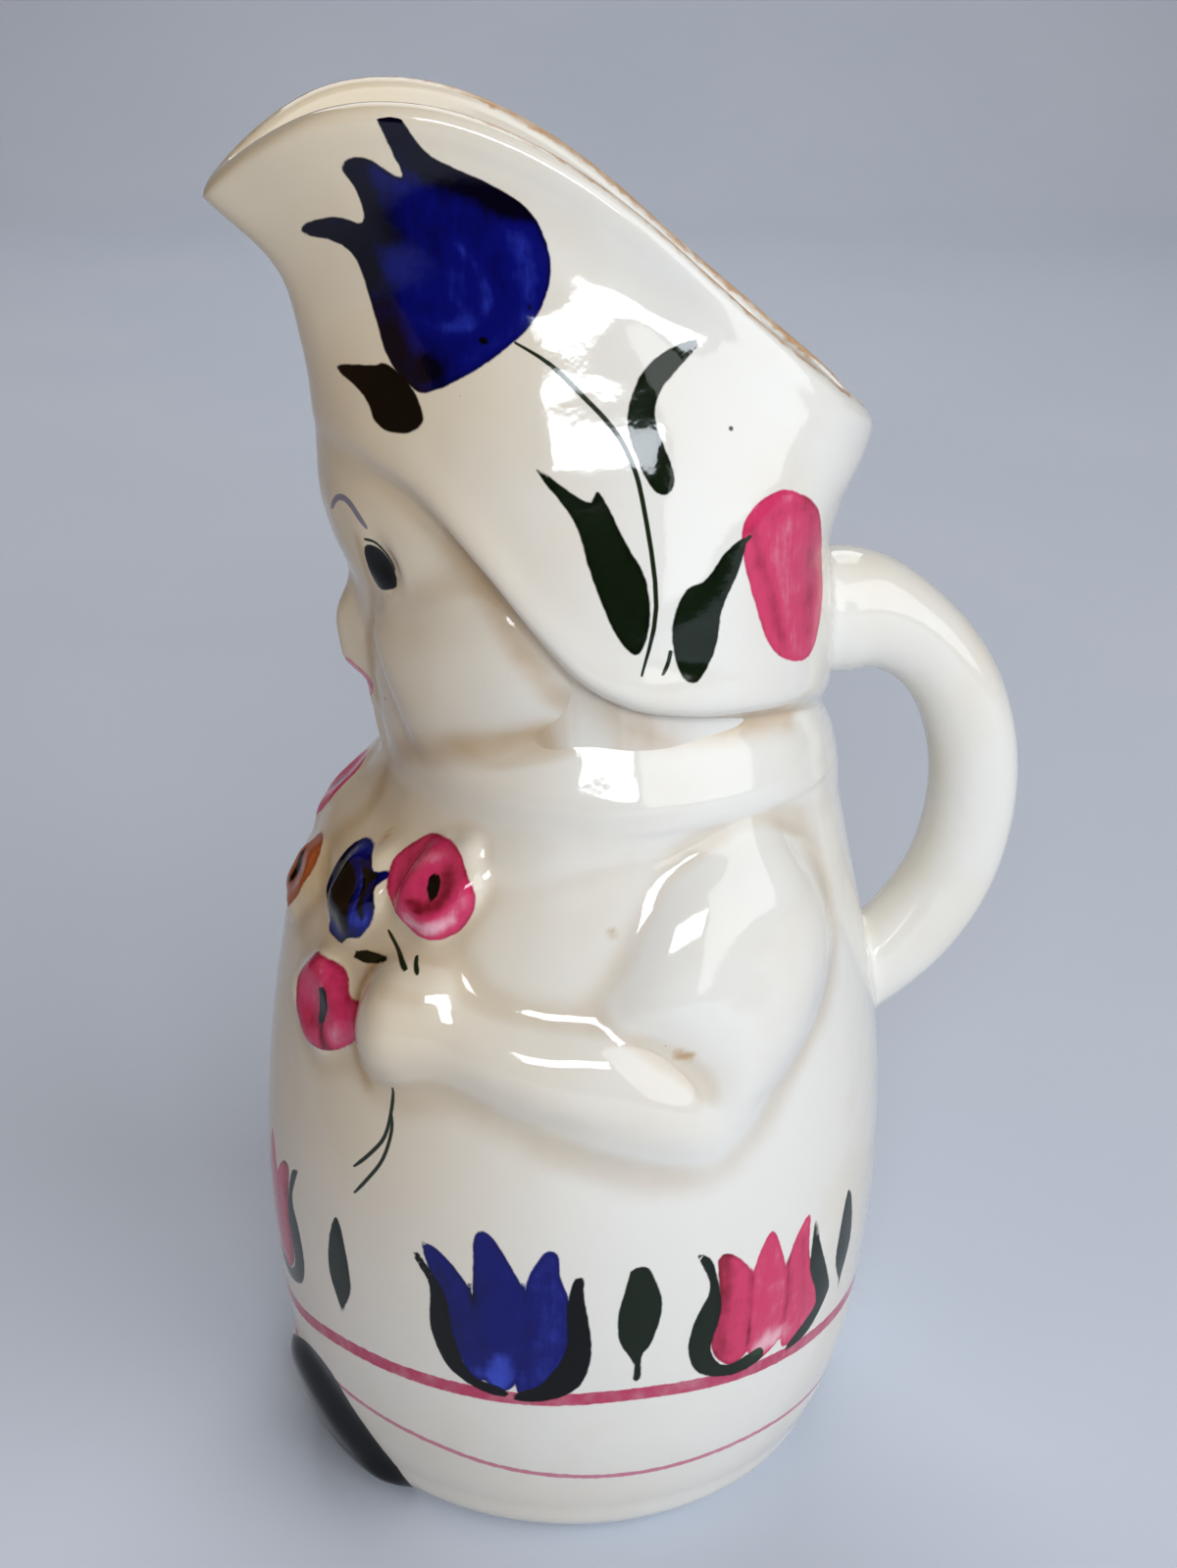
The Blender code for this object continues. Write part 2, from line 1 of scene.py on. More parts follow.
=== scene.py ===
"""Looks of a glazed earthenware pitcher, cast as a standing doll in a wide bonnet.

The pitcher is one glazed piece that keeps the form of its CAD solid: the same plain figure and the
same carving, on a much finer mesh and with the small relief that the solid leaves out. Its
underglaze painting is worked out in millimetres on the finished surface, as signed distances from
the edges of brush marks, and the material turns those distances into colour. Lengths in the tables
are millimetres and angles are degrees from the front, positive on the figure's left hand.
"""

import logging
import math
from dataclasses import astuple, dataclass, field
from enum import Enum

import bpy
import numpy as np
from mathutils import Matrix, Vector
from mathutils.kdtree import KDTree


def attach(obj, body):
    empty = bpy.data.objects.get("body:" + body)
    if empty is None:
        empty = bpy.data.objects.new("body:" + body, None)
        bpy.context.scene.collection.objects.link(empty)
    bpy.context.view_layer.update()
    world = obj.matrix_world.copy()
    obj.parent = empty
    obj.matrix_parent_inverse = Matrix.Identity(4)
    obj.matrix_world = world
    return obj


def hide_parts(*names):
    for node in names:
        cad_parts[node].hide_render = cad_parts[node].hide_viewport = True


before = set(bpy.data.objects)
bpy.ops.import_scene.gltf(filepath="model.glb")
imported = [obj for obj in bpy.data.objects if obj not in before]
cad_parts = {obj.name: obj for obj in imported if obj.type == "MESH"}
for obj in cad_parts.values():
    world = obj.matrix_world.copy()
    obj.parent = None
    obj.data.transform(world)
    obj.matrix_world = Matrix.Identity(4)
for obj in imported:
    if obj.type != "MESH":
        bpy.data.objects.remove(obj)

MM = 0.001
PHOTO_SIZE = (1200, 1599)
log = logging.getLogger("pitcher")

Points = tuple[tuple[float, float], ...]


def smooth_step(value: np.ndarray, low: float, high: float) -> np.ndarray:
    """An even S from 0 at low to 1 at high.

    Args:
        value: what the S follows.
        low: where it leaves 0.
        high: where it reaches 1.

    Returns:
        Weights between 0 and 1.
    """
    t = np.clip((value - low) / (high - low), 0.0, 1.0)
    return t * t * (3.0 - 2.0 * t)


def smooth_table(knots: np.ndarray, rows: np.ndarray, at: np.ndarray) -> np.ndarray:
    """Read a table between its rows with a smooth cubic through all of them.

    Args:
        knots: rising positions of the rows.
        rows: one row of values for each knot.
        at: positions to read.

    Returns:
        One row of values for each position.
    """
    knots = np.asarray(knots, float)
    rows = np.asarray(rows, float)
    at = np.asarray(at, float)
    gaps = np.diff(knots)
    slopes = np.diff(rows, axis=0) / gaps[:, None]
    tangents = np.empty_like(rows)
    tangents[0] = slopes[0]
    tangents[-1] = slopes[-1]
    weight = (gaps[:-1] / (gaps[1:] + gaps[:-1]))[:, None]
    tangents[1:-1] = slopes[:-1] * (1.0 - weight) + slopes[1:] * weight
    index = np.clip(np.searchsorted(knots, at) - 1, 0, len(gaps) - 1)
    gap = gaps[index][..., None]
    t = (at - knots[index])[..., None] / gap
    start = (1.0 + 2.0 * t) * (1.0 - t) ** 2 * rows[index]
    leave = t * (1.0 - t) ** 2 * gap * tangents[index]
    end = t * t * (3.0 - 2.0 * t) * rows[index + 1]
    arrive = t * t * (t - 1.0) * gap * tangents[index + 1]
    return start + leave + end + arrive


def spline(points: np.ndarray, closed: bool, steps: int = 5) -> np.ndarray:
    """A smooth line through points.

    Args:
        points: the corners, one row each.
        closed: whether the line comes back to its start.
        steps: pieces between two corners.

    Returns:
        Points along the line. An open line keeps its last point.
    """
    count = len(points)
    line = []
    for i in range(count if closed else count - 1):
        if closed:
            before, start, end, after = (points[(i + k) % count] for k in (-1, 0, 1, 2))
        else:
            before, start, end, after = (points[min(max(i + k, 0), count - 1)] for k in (-1, 0, 1, 2))
        for t in np.linspace(0.0, 1.0, steps, endpoint=False):
            bend = (2 * before - 5 * start + 4 * end - after) * t * t
            twist = (3 * start - before - 3 * end + after) * t**3
            line.append(0.5 * (2 * start + (end - before) * t + bend + twist))
    if not closed:
        line.append(points[-1])
    return np.array(line)


def signed_depth(outline: np.ndarray, across: np.ndarray, up: np.ndarray, reach: float) -> np.ndarray:
    """Distance inside a closed outline.

    Args:
        outline: points round the outline.
        across: first coordinate of the places asked about.
        up: their second coordinate.
        reach: how far outside the distance is still worked out.

    Returns:
        Positive distances inside, negative ones outside, never under -reach.
    """
    low = outline.min(axis=0) - reach
    high = outline.max(axis=0) + reach
    near = (across > low[0]) & (across < high[0]) & (up > low[1]) & (up < high[1])
    depth = np.full(across.shape, -reach)
    a, z = across[near], up[near]
    nearest = np.full(a.shape, np.inf)
    inside = np.zeros(a.shape, bool)
    for (ax, az), (bx, bz) in zip(outline, np.roll(outline, -1, axis=0)):
        length = max((bx - ax) ** 2 + (bz - az) ** 2, 1e-9)
        t = np.clip(((a - ax) * (bx - ax) + (z - az) * (bz - az)) / length, 0.0, 1.0)
        nearest = np.minimum(nearest, np.hypot(a - ax - t * (bx - ax), z - az - t * (bz - az)))
        crosses = (az > z) != (bz > z)
        inside ^= crosses & (a < ax + (z - az) * (bx - ax) / (bz - az if bz != az else 1.0))
    depth[near] = np.where(inside, nearest, np.maximum(-nearest, -reach))
    return depth


def line_offset(path: np.ndarray, across: np.ndarray, up: np.ndarray, reach: float) -> tuple:
    """Distance to an open line and the place along it.

    Args:
        path: points along the line.
        across: first coordinate of the places asked about.
        up: their second coordinate.
        reach: how far from the line the distance is still worked out.

    Returns:
        The signed distance, positive on the line's right, and the share of its length.
    """
    low = path.min(axis=0) - reach
    high = path.max(axis=0) + reach
    near = (across > low[0]) & (across < high[0]) & (up > low[1]) & (up < high[1])
    a, z = across[near], up[near]
    best = np.full(a.shape, np.inf)
    sign = np.ones(a.shape)
    share = np.zeros(a.shape)
    run = np.concatenate([[0.0], np.cumsum(np.linalg.norm(np.diff(path, axis=0), axis=1))])
    for i in range(len(path) - 1):
        (ax, az), (bx, bz) = path[i], path[i + 1]
        length = max((bx - ax) ** 2 + (bz - az) ** 2, 1e-9)
        t = np.clip(((a - ax) * (bx - ax) + (z - az) * (bz - az)) / length, 0.0, 1.0)
        gap = np.hypot(a - ax - t * (bx - ax), z - az - t * (bz - az))
        closer = gap < best
        best = np.where(closer, gap, best)
        turn = (a - ax) * (bz - az) - (z - az) * (bx - ax)
        sign = np.where(closer, np.where(turn >= 0.0, 1.0, -1.0), sign)
        share = np.where(closer, (run[i] + t * (run[i + 1] - run[i])) / run[-1], share)
    offset = np.full(across.shape, reach)
    along = np.zeros(across.shape)
    offset[near] = np.clip(best * sign, -reach, reach)
    along[near] = share
    return offset, along


def cushion(depth: np.ndarray, shoulder: float) -> np.ndarray:
    """0 at an outline and 1 from the shoulder inwards, round like the edge of a cushion."""
    t = np.clip(depth / shoulder, 0.0, 1.0)
    return t * (2.0 - t)


def dome(distance: np.ndarray, radius: float) -> np.ndarray:
    """1 at the centre, 0 from the radius outwards."""
    return np.clip(1.0 - (distance / radius) ** 2, 0.0, 1.0) ** 1.5


def bell(distance: np.ndarray, reach: float) -> np.ndarray:
    """1 in the middle, fading to almost nothing at twice the reach."""
    return np.exp(-((distance / reach) ** 2))


def wrapped(angle: np.ndarray) -> np.ndarray:
    """The same angles between -180 and 180 degrees."""
    return (angle + 180.0) % 360.0 - 180.0


@dataclass(frozen=True)
class Section:
    """A level cut through the plain figure.

    front and back are distances from the axis, side is the half width, reached at the distance
    widest behind the axis, and pinch draws the front in towards the narrow spout.
    """

    height: float
    front: float
    back: float
    side: float
    widest: float = 0.0
    pinch: float = 0.0


SECTIONS = (
    Section(0.0, 44.6, 44.6, 44.6),
    Section(1.6, 47.2, 47.2, 47.2),
    Section(9.7, 51.9, 51.9, 51.9),
    Section(19.5, 54.9, 54.9, 54.9),
    Section(38.9, 57.5, 57.5, 57.5),
    Section(58.4, 58.5, 58.4, 58.4),
    Section(77.8, 57.6, 57.6, 57.5),
    Section(98.0, 55.0, 54.8, 54.0),
    Section(116.0, 50.9, 50.6, 49.0),
    Section(128.0, 43.4, 47.8, 45.2, 1.0),
    Section(134.5, 37.0, 46.2, 42.6, 2.0),
    Section(139.5, 34.7, 44.8, 41.4, 3.0),
    Section(147.0, 35.9, 43.2, 41.6, 3.0),
    Section(156.0, 37.8, 43.6, 43.6, 2.0),
    Section(166.0, 39.6, 43.4, 44.4, 2.0),
    Section(173.0, 40.8, 42.6, 44.0, 2.0),
    Section(180.0, 43.7, 42.0, 43.0, 2.5),
    Section(187.0, 45.5, 44.0, 41.4, 3.5, 0.02),
    Section(195.0, 45.9, 47.4, 39.0, 5.0, 0.05),
    Section(203.0, 46.0, 48.4, 36.4, 7.0, 0.10),
    Section(212.0, 47.3, 48.4, 32.6, 9.0, 0.22),
    Section(221.0, 50.0, 48.4, 28.8, 11.0, 0.42),
    Section(236.0, 61.6, 48.4, 25.4, 12.0, 0.72),
    Section(252.0, 78.0, 48.4, 21.6, 12.0, 0.80),
)


@dataclass
class PlainForm:
    """The figure without its carving.

    Its lip is given from the side, as distance behind the axis and height over all.
    """

    sections: tuple[Section, ...] = SECTIONS
    lip: Points = (
        (-66.0, 234.0), (-62.2, 238.8), (-59.2, 241.8), (-53.8, 245.9), (-48.6, 249.0),
        (-43.3, 251.0), (-36.0, 252.0), (-28.0, 251.6), (-18.0, 248.9), (-8.0, 244.3),
        (3.0, 237.3), (21.0, 222.6), (39.0, 207.8), (46.0, 202.2), (49.0, 198.4),
    )  # fmt: skip
    wall: float = 4.5
    floor: float = 5.5
    beak_wall_gain: float = 0.6
    pinch_power: float = 4.0
    keel_rounding: float = 0.35
    keel_power: float = 16.0
    lip_search: tuple[float, float] = (190.0, 256.0)
    probe: float = 0.4

    def section_at(self, height: np.ndarray) -> np.ndarray:
        """front, back, side, widest and pinch at a height."""
        rows = np.array([astuple(section) for section in self.sections])
        return np.moveaxis(smooth_table(rows[:, 0], rows[:, 1:], height), -1, 0)

    def points(self, height: np.ndarray, angle: np.ndarray, inset: float = 0.0) -> np.ndarray:
        """Points of the figure.

        Args:
            height: heights over the foot.
            angle: angles from the front.
            inset: how far the points lie inside the surface.

        Returns:
            x, y and z along the last axis.
        """
        height, angle = np.broadcast_arrays(np.asarray(height, float), np.asarray(angle, float))
        front, back, side, widest, pinch = self.section_at(height)
        if inset:
            above = self.section_at(height + self.probe)
            slopes = (above - self.section_at(height - self.probe)) / (2.0 * self.probe)
            gain = np.sqrt(1.0 + slopes[:3] ** 2)
            front = front - inset * gain[0] * (1.0 + self.beak_wall_gain * pinch)
            back = back - inset * gain[1]
            side = side - inset * gain[2]
        turn = np.radians(angle)
        ahead = np.cos(turn)
        depth = np.where(ahead > 0.0, front + widest, back - widest)
        share = np.clip(ahead, 0.0, 1.0)
        pinch = pinch * (share**self.pinch_power - self.keel_rounding * share**self.keel_power)
        x = side * np.sin(turn) * (1.0 - pinch)
        return np.stack([x, widest - depth * ahead, height], axis=-1)

    def normals(self, height: np.ndarray, angle: np.ndarray) -> np.ndarray:
        """Unit normals of the figure, pointing out.

        Args:
            height: the height in millimetres.
            angle: degrees round the figure from its front.

        Returns:
            One normal for each place.
        """
        upwards = self.points(height + self.probe, angle) - self.points(height - self.probe, angle)
        sideways = self.points(height, angle + self.probe) - self.points(height, angle - self.probe)
        normal = np.cross(sideways, upwards)
        return normal / np.linalg.norm(normal, axis=-1, keepdims=True)

    def lip_at(self, angle: np.ndarray, inset: float = 0.0) -> np.ndarray:
        """Height at which each column of the wall meets the lip's profile, below its rounding.

        Args:
            angle: degrees round the figure from its front.
            inset: how far inside the outer wall the column stands.

        Returns:
            The heights in millimetres.
        """
        profile = np.array(self.lip)
        low = np.full(np.shape(angle), self.lip_search[0])
        high = np.full(np.shape(angle), self.lip_search[1])
        for _ in range(30):
            middle = (low + high) / 2.0
            across = self.points(middle, angle, inset)[..., 1]
            wanted = smooth_table(profile[:, 0], profile[:, 1:], across)[..., 0]
            low = np.where(middle < wanted, middle, low)
            high = np.where(middle < wanted, high, middle)
        return (low + high) / 2.0 - self.wall / 2.0


def edge_height(edge: Points, angle: np.ndarray) -> np.ndarray:
    """Height of an edge given as (angle, height) points, the same on both sides of the figure."""
    points = np.array(edge)
    return smooth_table(points[:, 0], points[:, 1:], np.abs(angle))[..., 0]


@dataclass
class BonnetRelief:
    """The face and neck lie deeper than the bonnet, whose lower edge is a soft bead."""

    edge: Points = (
        (0.0, 201.0), (17.0, 200.6), (33.0, 198.6), (46.0, 194.4), (61.0, 183.6), (70.0, 175.0),
        (79.0, 168.0), (89.0, 164.0), (105.0, 161.4), (120.0, 160.0), (140.0, 158.0),
        (160.0, 154.6), (180.0, 153.0),
    )  # fmt: skip
    depth: Points = (
        (0.0, 0.5), (30.0, 1.8), (55.0, 4.4), (85.0, 6.4), (120.0, 5.2), (150.0, 1.8), (180.0, 0.9),
    )  # fmt: skip
    step: tuple[float, float] = (-3.4, 0.4)
    bead: float = 1.0
    bead_width: float = 4.5
    neck_fade: tuple[float, float] = (144.0, 156.0)

    def rise(self, angle: np.ndarray, height: np.ndarray) -> np.ndarray:
        """How far the surface stands out at each place.

        Args:
            angle: degrees round the figure from its front.
            height: the height in millimetres.

        Returns:
            Millimetres outward.
        """
        above = height - edge_height(self.edge, angle)
        under = 1.0 - smooth_step(above, *self.step)
        neck = smooth_step(height, *self.neck_fade)
        depth = edge_height(self.depth, angle)
        bead = self.bead * bell(above - self.bead_width / 2, self.bead_width)
        weight = depth / max(deep for _, deep in self.depth)
        return bead * weight * (1.0 - under) - depth * under * neck


@dataclass
class LipRelief:
    """A roll turned outwards above a shallow valley, fuller towards the spout."""

    roll: float = 1.2
    roll_depth: float = 3.6
    valley: float = 0.8
    valley_at: float = 11.0
    valley_reach: float = 6.0
    back_share: float = 0.35

    def rise(self, angle: np.ndarray, below: np.ndarray) -> np.ndarray:
        """How far the surface stands out, from the distance below the lip.

        Args:
            angle: degrees round the figure from its front.
            below: millimetres below the lip.

        Returns:
            Millimetres outward.
        """
        ahead = (1.0 + np.cos(np.radians(angle))) / 2.0
        roll = self.roll * bell(below, self.roll_depth)
        valley = self.valley * bell(below - self.valley_at, self.valley_reach)
        return (roll - valley) * (self.back_share + (1.0 - self.back_share) * ahead)


@dataclass
class ShawlRelief:
    """A shawl over the shoulders: a dip at the collar and a soft step at the hem."""

    top: Points = (
        (0.0, 138.5), (23.0, 142.0), (45.0, 147.6), (61.0, 151.6), (90.0, 156.0), (114.0, 155.6),
        (180.0, 148.0),
    )  # fmt: skip
    hem: Points = (
        (0.0, 124.0), (40.0, 126.0), (58.0, 130.0), (73.0, 134.0), (90.0, 138.6), (112.0, 140.5),
        (180.0, 134.0),
    )  # fmt: skip
    step: float = 1.3
    softness: float = 1.5
    dip: float = 1.2
    dip_width: float = 3.0
    dip_fade: tuple[float, float] = (40.0, 75.0)

    def rise(self, angle: np.ndarray, height: np.ndarray) -> np.ndarray:
        """How far the surface stands out at each place.

        Args:
            angle: degrees round the figure from its front.
            height: the height in millimetres.

        Returns:
            Millimetres outward.
        """
        hem = smooth_step(height - edge_height(self.hem, angle), -self.softness, self.softness)
        top = height - edge_height(self.top, angle)
        cloth = 1.0 - smooth_step(top, -2.2, 2.2)
        dip = self.dip * bell(top, self.dip_width) * smooth_step(np.abs(angle), *self.dip_fade)
        return self.step * hem * cloth - dip


@dataclass(frozen=True)
class Ridge:
    """A small ridge, or a groove where rise is negative, along a path of (angle, height) points."""

    path: Points
    reach: float
    rise: float


@dataclass
class Strip:
    """The strip wrapped round the figure on which the carving is drawn."""

    radius: float = 48.0

    def flat(self, points: Points) -> np.ndarray:
        """(angle, height) points in millimetres along the strip.

        Args:
            points: the points, their angles in degrees.

        Returns:
            The same points, both coordinates in millimetres.
        """
        drawn = np.array(points, float)
        drawn[:, 0] = np.radians(drawn[:, 0]) * self.radius
        return drawn

    def inside(self, outline: Points, across: np.ndarray, up: np.ndarray) -> np.ndarray:
        """Depth inside a smooth closed outline."""
        return signed_depth(spline(self.flat(outline), True, 6), across, up, 1.0)

    def gap(self, path: Points, across: np.ndarray, up: np.ndarray, reach: float) -> np.ndarray:
        """Distance to a smooth open line, up to reach.

        Args:
            path: the line's (angle, height) points.
            across: distance along the strip from the front, in millimetres.
            up: the height of each place.
            reach: the greatest distance of interest.

        Returns:
            The distances in millimetres.
        """
        steps = 4 if len(path) > 2 else 1
        offset, _ = line_offset(spline(self.flat(path), False, steps), across, up, reach)
        return np.abs(offset)

    def ridges(self, ridges: tuple[Ridge, ...], across: np.ndarray, up: np.ndarray) -> np.ndarray:
        """All of the small ridges together.

        Args:
            ridges: the ridges to add up.
            across: distance along the strip from the front, in millimetres.
            up: the height of each place.

        Returns:
            Millimetres outward.
        """
        total = np.zeros(across.shape)
        for ridge in ridges:
            away = self.gap(ridge.path, across, up, 3.2 * ridge.reach)
            total += ridge.rise * bell(away, ridge.reach)
        return total


@dataclass
class ArmRelief:
    """Puffed sleeve with two raised dots, forearm and fist, the same on both sides."""

    sleeve: Points = (
        (114.0, 140.5), (101.0, 134.0), (95.0, 127.0), (90.0, 118.0), (86.5, 111.0), (94.0, 105.0),
        (102.0, 98.0), (106.5, 88.0), (112.0, 87.0), (120.0, 93.5), (131.0, 101.0), (140.0, 110.0),
        (143.0, 120.0), (138.0, 131.0), (127.0, 139.0),
    )  # fmt: skip
    forearm: Points = (
        (92.0, 109.5), (78.0, 110.5), (66.0, 112.5), (57.0, 117.5), (47.0, 116.5), (41.5, 110.0),
        (40.5, 101.0), (44.0, 95.2), (52.0, 95.4), (61.0, 97.0), (72.0, 94.0), (85.0, 89.4),
        (98.0, 85.6), (109.0, 85.4), (110.0, 92.0), (104.0, 102.0),
    )  # fmt: skip
    sleeve_rise: float = 5.4
    sleeve_shoulder: float = 14.0
    forearm_rise: float = 4.0
    forearm_shoulder: float = 8.0
    fist_at: tuple[float, float] = (48.0, 106.5)
    fist_radius: float = 10.5
    fist_rise: float = 2.6
    finger_count: int = 4
    finger_pitch: float = 4.6
    finger_top: float = 113.2
    finger_ends: tuple[float, float] = (41.5, 50.0)
    finger_radius: float = 2.7
    finger_rise: float = 1.5
    thumb: Points = ((47.0, 116.0), (57.0, 114.5))
    thumb_radius: float = 3.4
    thumb_rise: float = 1.6
    dots: Points = ((107.1, 129.6), (104.0, 122.6))
    dot_radius: float = 1.9
    dot_rise: float = 0.5

    def rise(self, strip: Strip, across: np.ndarray, up: np.ndarray) -> np.ndarray:
        """How far the arm stands out at each place.

        Args:
            strip: the strip on which the carving is drawn.
            across: distance along the strip from the front, in millimetres.
            up: the height of each place.

        Returns:
            Millimetres outward.
        """
        side = np.abs(across)
        sleeve = self.sleeve_rise * cushion(strip.inside(self.sleeve, side, up), self.sleeve_shoulder)
        forearm = self.forearm_rise * cushion(
            strip.inside(self.forearm, side, up), self.forearm_shoulder
        )
        for angle, height in self.dots:
            away = np.hypot(side - np.radians(angle) * strip.radius, up - height)
            sleeve = sleeve + self.dot_rise * dome(away, self.dot_radius)
        spot = strip.flat((self.fist_at,))[0]
        fist = self.fist_rise * dome(np.hypot(side - spot[0], up - spot[1]), self.fist_radius)
        fingers = np.zeros_like(side)
        for i in range(self.finger_count):
            level = self.finger_top - i * self.finger_pitch
            path = tuple((end, level) for end in self.finger_ends)
            away = strip.gap(path, side, up, 3.0 * self.finger_radius)
            fingers = np.maximum(fingers, self.finger_rise * dome(away, self.finger_radius))
        away = strip.gap(self.thumb, side, up, 3.0 * self.thumb_radius)
        thumb = self.thumb_rise * dome(away, self.thumb_radius)
        hand = fist + np.maximum(fingers, thumb)
        return np.maximum(sleeve, forearm + hand * (forearm > 0.0))


@dataclass
class FaceRelief:
    """A plain doll's face: small nose, pursed lips, round chin, full cheeks and sunk eyes."""

    bridge: tuple[float, float] = (164.5, 173.5)
    underside: tuple[float, float] = (153.2, 158.2)
    nose_width: float = 4.4
    nose_rise: float = 4.5
    upper_lip: float = 155.6
    lower_lip: float = 150.6
    lip_width: float = 6.4
    lip_height: float = 2.2
    upper_rise: float = 1.4
    lower_rise: float = 1.8
    chin: float = 143.8
    chin_radius: float = 6.5
    chin_rise: float = 1.3
    cheek: Points = (
        (17.0, 169.5), (18.0, 161.0), (23.0, 153.0), (31.0, 147.5), (45.0, 147.4), (60.0, 151.5),
        (74.0, 158.0), (80.0, 167.0), (72.0, 177.0), (56.0, 181.0), (34.0, 174.0),
    )  # fmt: skip
    cheek_rise: float = 3.3
    cheek_shoulder: float = 13.0
    eye_at: tuple[float, float] = (31.0, 180.4)
    eye_radius: float = 7.5
    eye_depth: float = 1.7
    lid_radius: float = 4.65
    lid_width: float = 1.2
    lid_rise: float = 0.9
    details: tuple[Ridge, ...] = (
        # Crease from the eye past the nose and round the mouth, and the wing of the nose.
        Ridge(((23.4, 174.0), (16.3, 168.0), (10.5, 163.5)), 1.3, -0.7),
        Ridge(((8.5, 161.2), (8.8, 157.4), (6.0, 155.0)), 1.2, -0.5),
        Ridge(((6.8, 163.4), (7.2, 160.4)), 1.5, 0.7),
        # Groove between the lips and under the lower lip.
        Ridge(((0.0, 153.1), (6.5, 152.8), (10.0, 152.0)), 0.9, -0.7),
        Ridge(((0.0, 147.9), (7.5, 148.4)), 1.1, -0.4),
        # Brow over the eye.
        Ridge(((13.3, 187.0), (18.8, 189.6), (26.8, 186.3)), 2.6, 0.5),
    )

    def rise(self, strip: Strip, across: np.ndarray, up: np.ndarray, shown: np.ndarray) -> np.ndarray:
        """How far the face stands out at each place; shown is 0 where the bonnet covers it.

        Args:
            strip: the strip on which the carving is drawn.
            across: distance along the strip from the front, in millimetres.
            up: the height of each place.
            shown: the share of each place that shows.

        Returns:
            Millimetres outward.
        """
        side = np.abs(across)
        above = 1.0 - smooth_step(up, *self.bridge)
        below = smooth_step(up, *self.underside)
        nose = self.nose_rise * above * below * bell(side, self.nose_width)
        upper = self.upper_rise * bell(up - self.upper_lip, self.lip_height)
        lower = self.lower_rise * bell(up - self.lower_lip, self.lip_height)
        mouth = (upper + lower) * bell(side, self.lip_width)
        chin = self.chin_rise * dome(np.hypot(side, up - self.chin), self.chin_radius)
        cheek = self.cheek_rise * cushion(strip.inside(self.cheek, side, up), self.cheek_shoulder)
        cheek = cheek * shown
        spot = strip.flat((self.eye_at,))[0]
        from_eye = np.hypot(side - spot[0], up - spot[1])
        socket = -self.eye_depth * dome(from_eye, self.eye_radius)
        lid = self.lid_rise * bell(from_eye - self.lid_radius, self.lid_width)
        return nose + mouth + chin + cheek + socket + lid + strip.ridges(self.details, side, up)


@dataclass(frozen=True)
class Bloom:
    """A raised flower of the bouquet: petals of a wavy outline round a sunk heart."""

    angle: float
    height: float
    radius: float
    rise: float
    petals: int
    rim: float = 0.34
    heart: float = 0.60
    heart_depth: float = 0.42
    wave: float = 0.09
    groove: float = 0.10

    def shape(self, strip: Strip, across: np.ndarray, up: np.ndarray) -> np.ndarray:
        """How far the flower stands out at each place.

        Args:
            strip: the strip on which the carving is drawn.
            across: distance along the strip from the front, in millimetres.
            up: the height of each place.

        Returns:
            Millimetres outward.
        """
        right = across - np.radians(self.angle) * strip.radius
        above = up - self.height
        turn = np.arctan2(above, right)
        reach = np.hypot(right, above) / (self.radius * (1.0 + self.wave * np.cos(self.petals * turn)))
        ring = cushion(1.0 - reach, self.rim)
        between = np.clip(-np.cos(self.petals * turn), 0.0, 1.0) ** 3
        fold = self.groove * between * bell(reach - 0.62, 0.3)
        return self.rise * ring * (1.0 - self.heart_depth * dome(reach, self.heart) - fold)


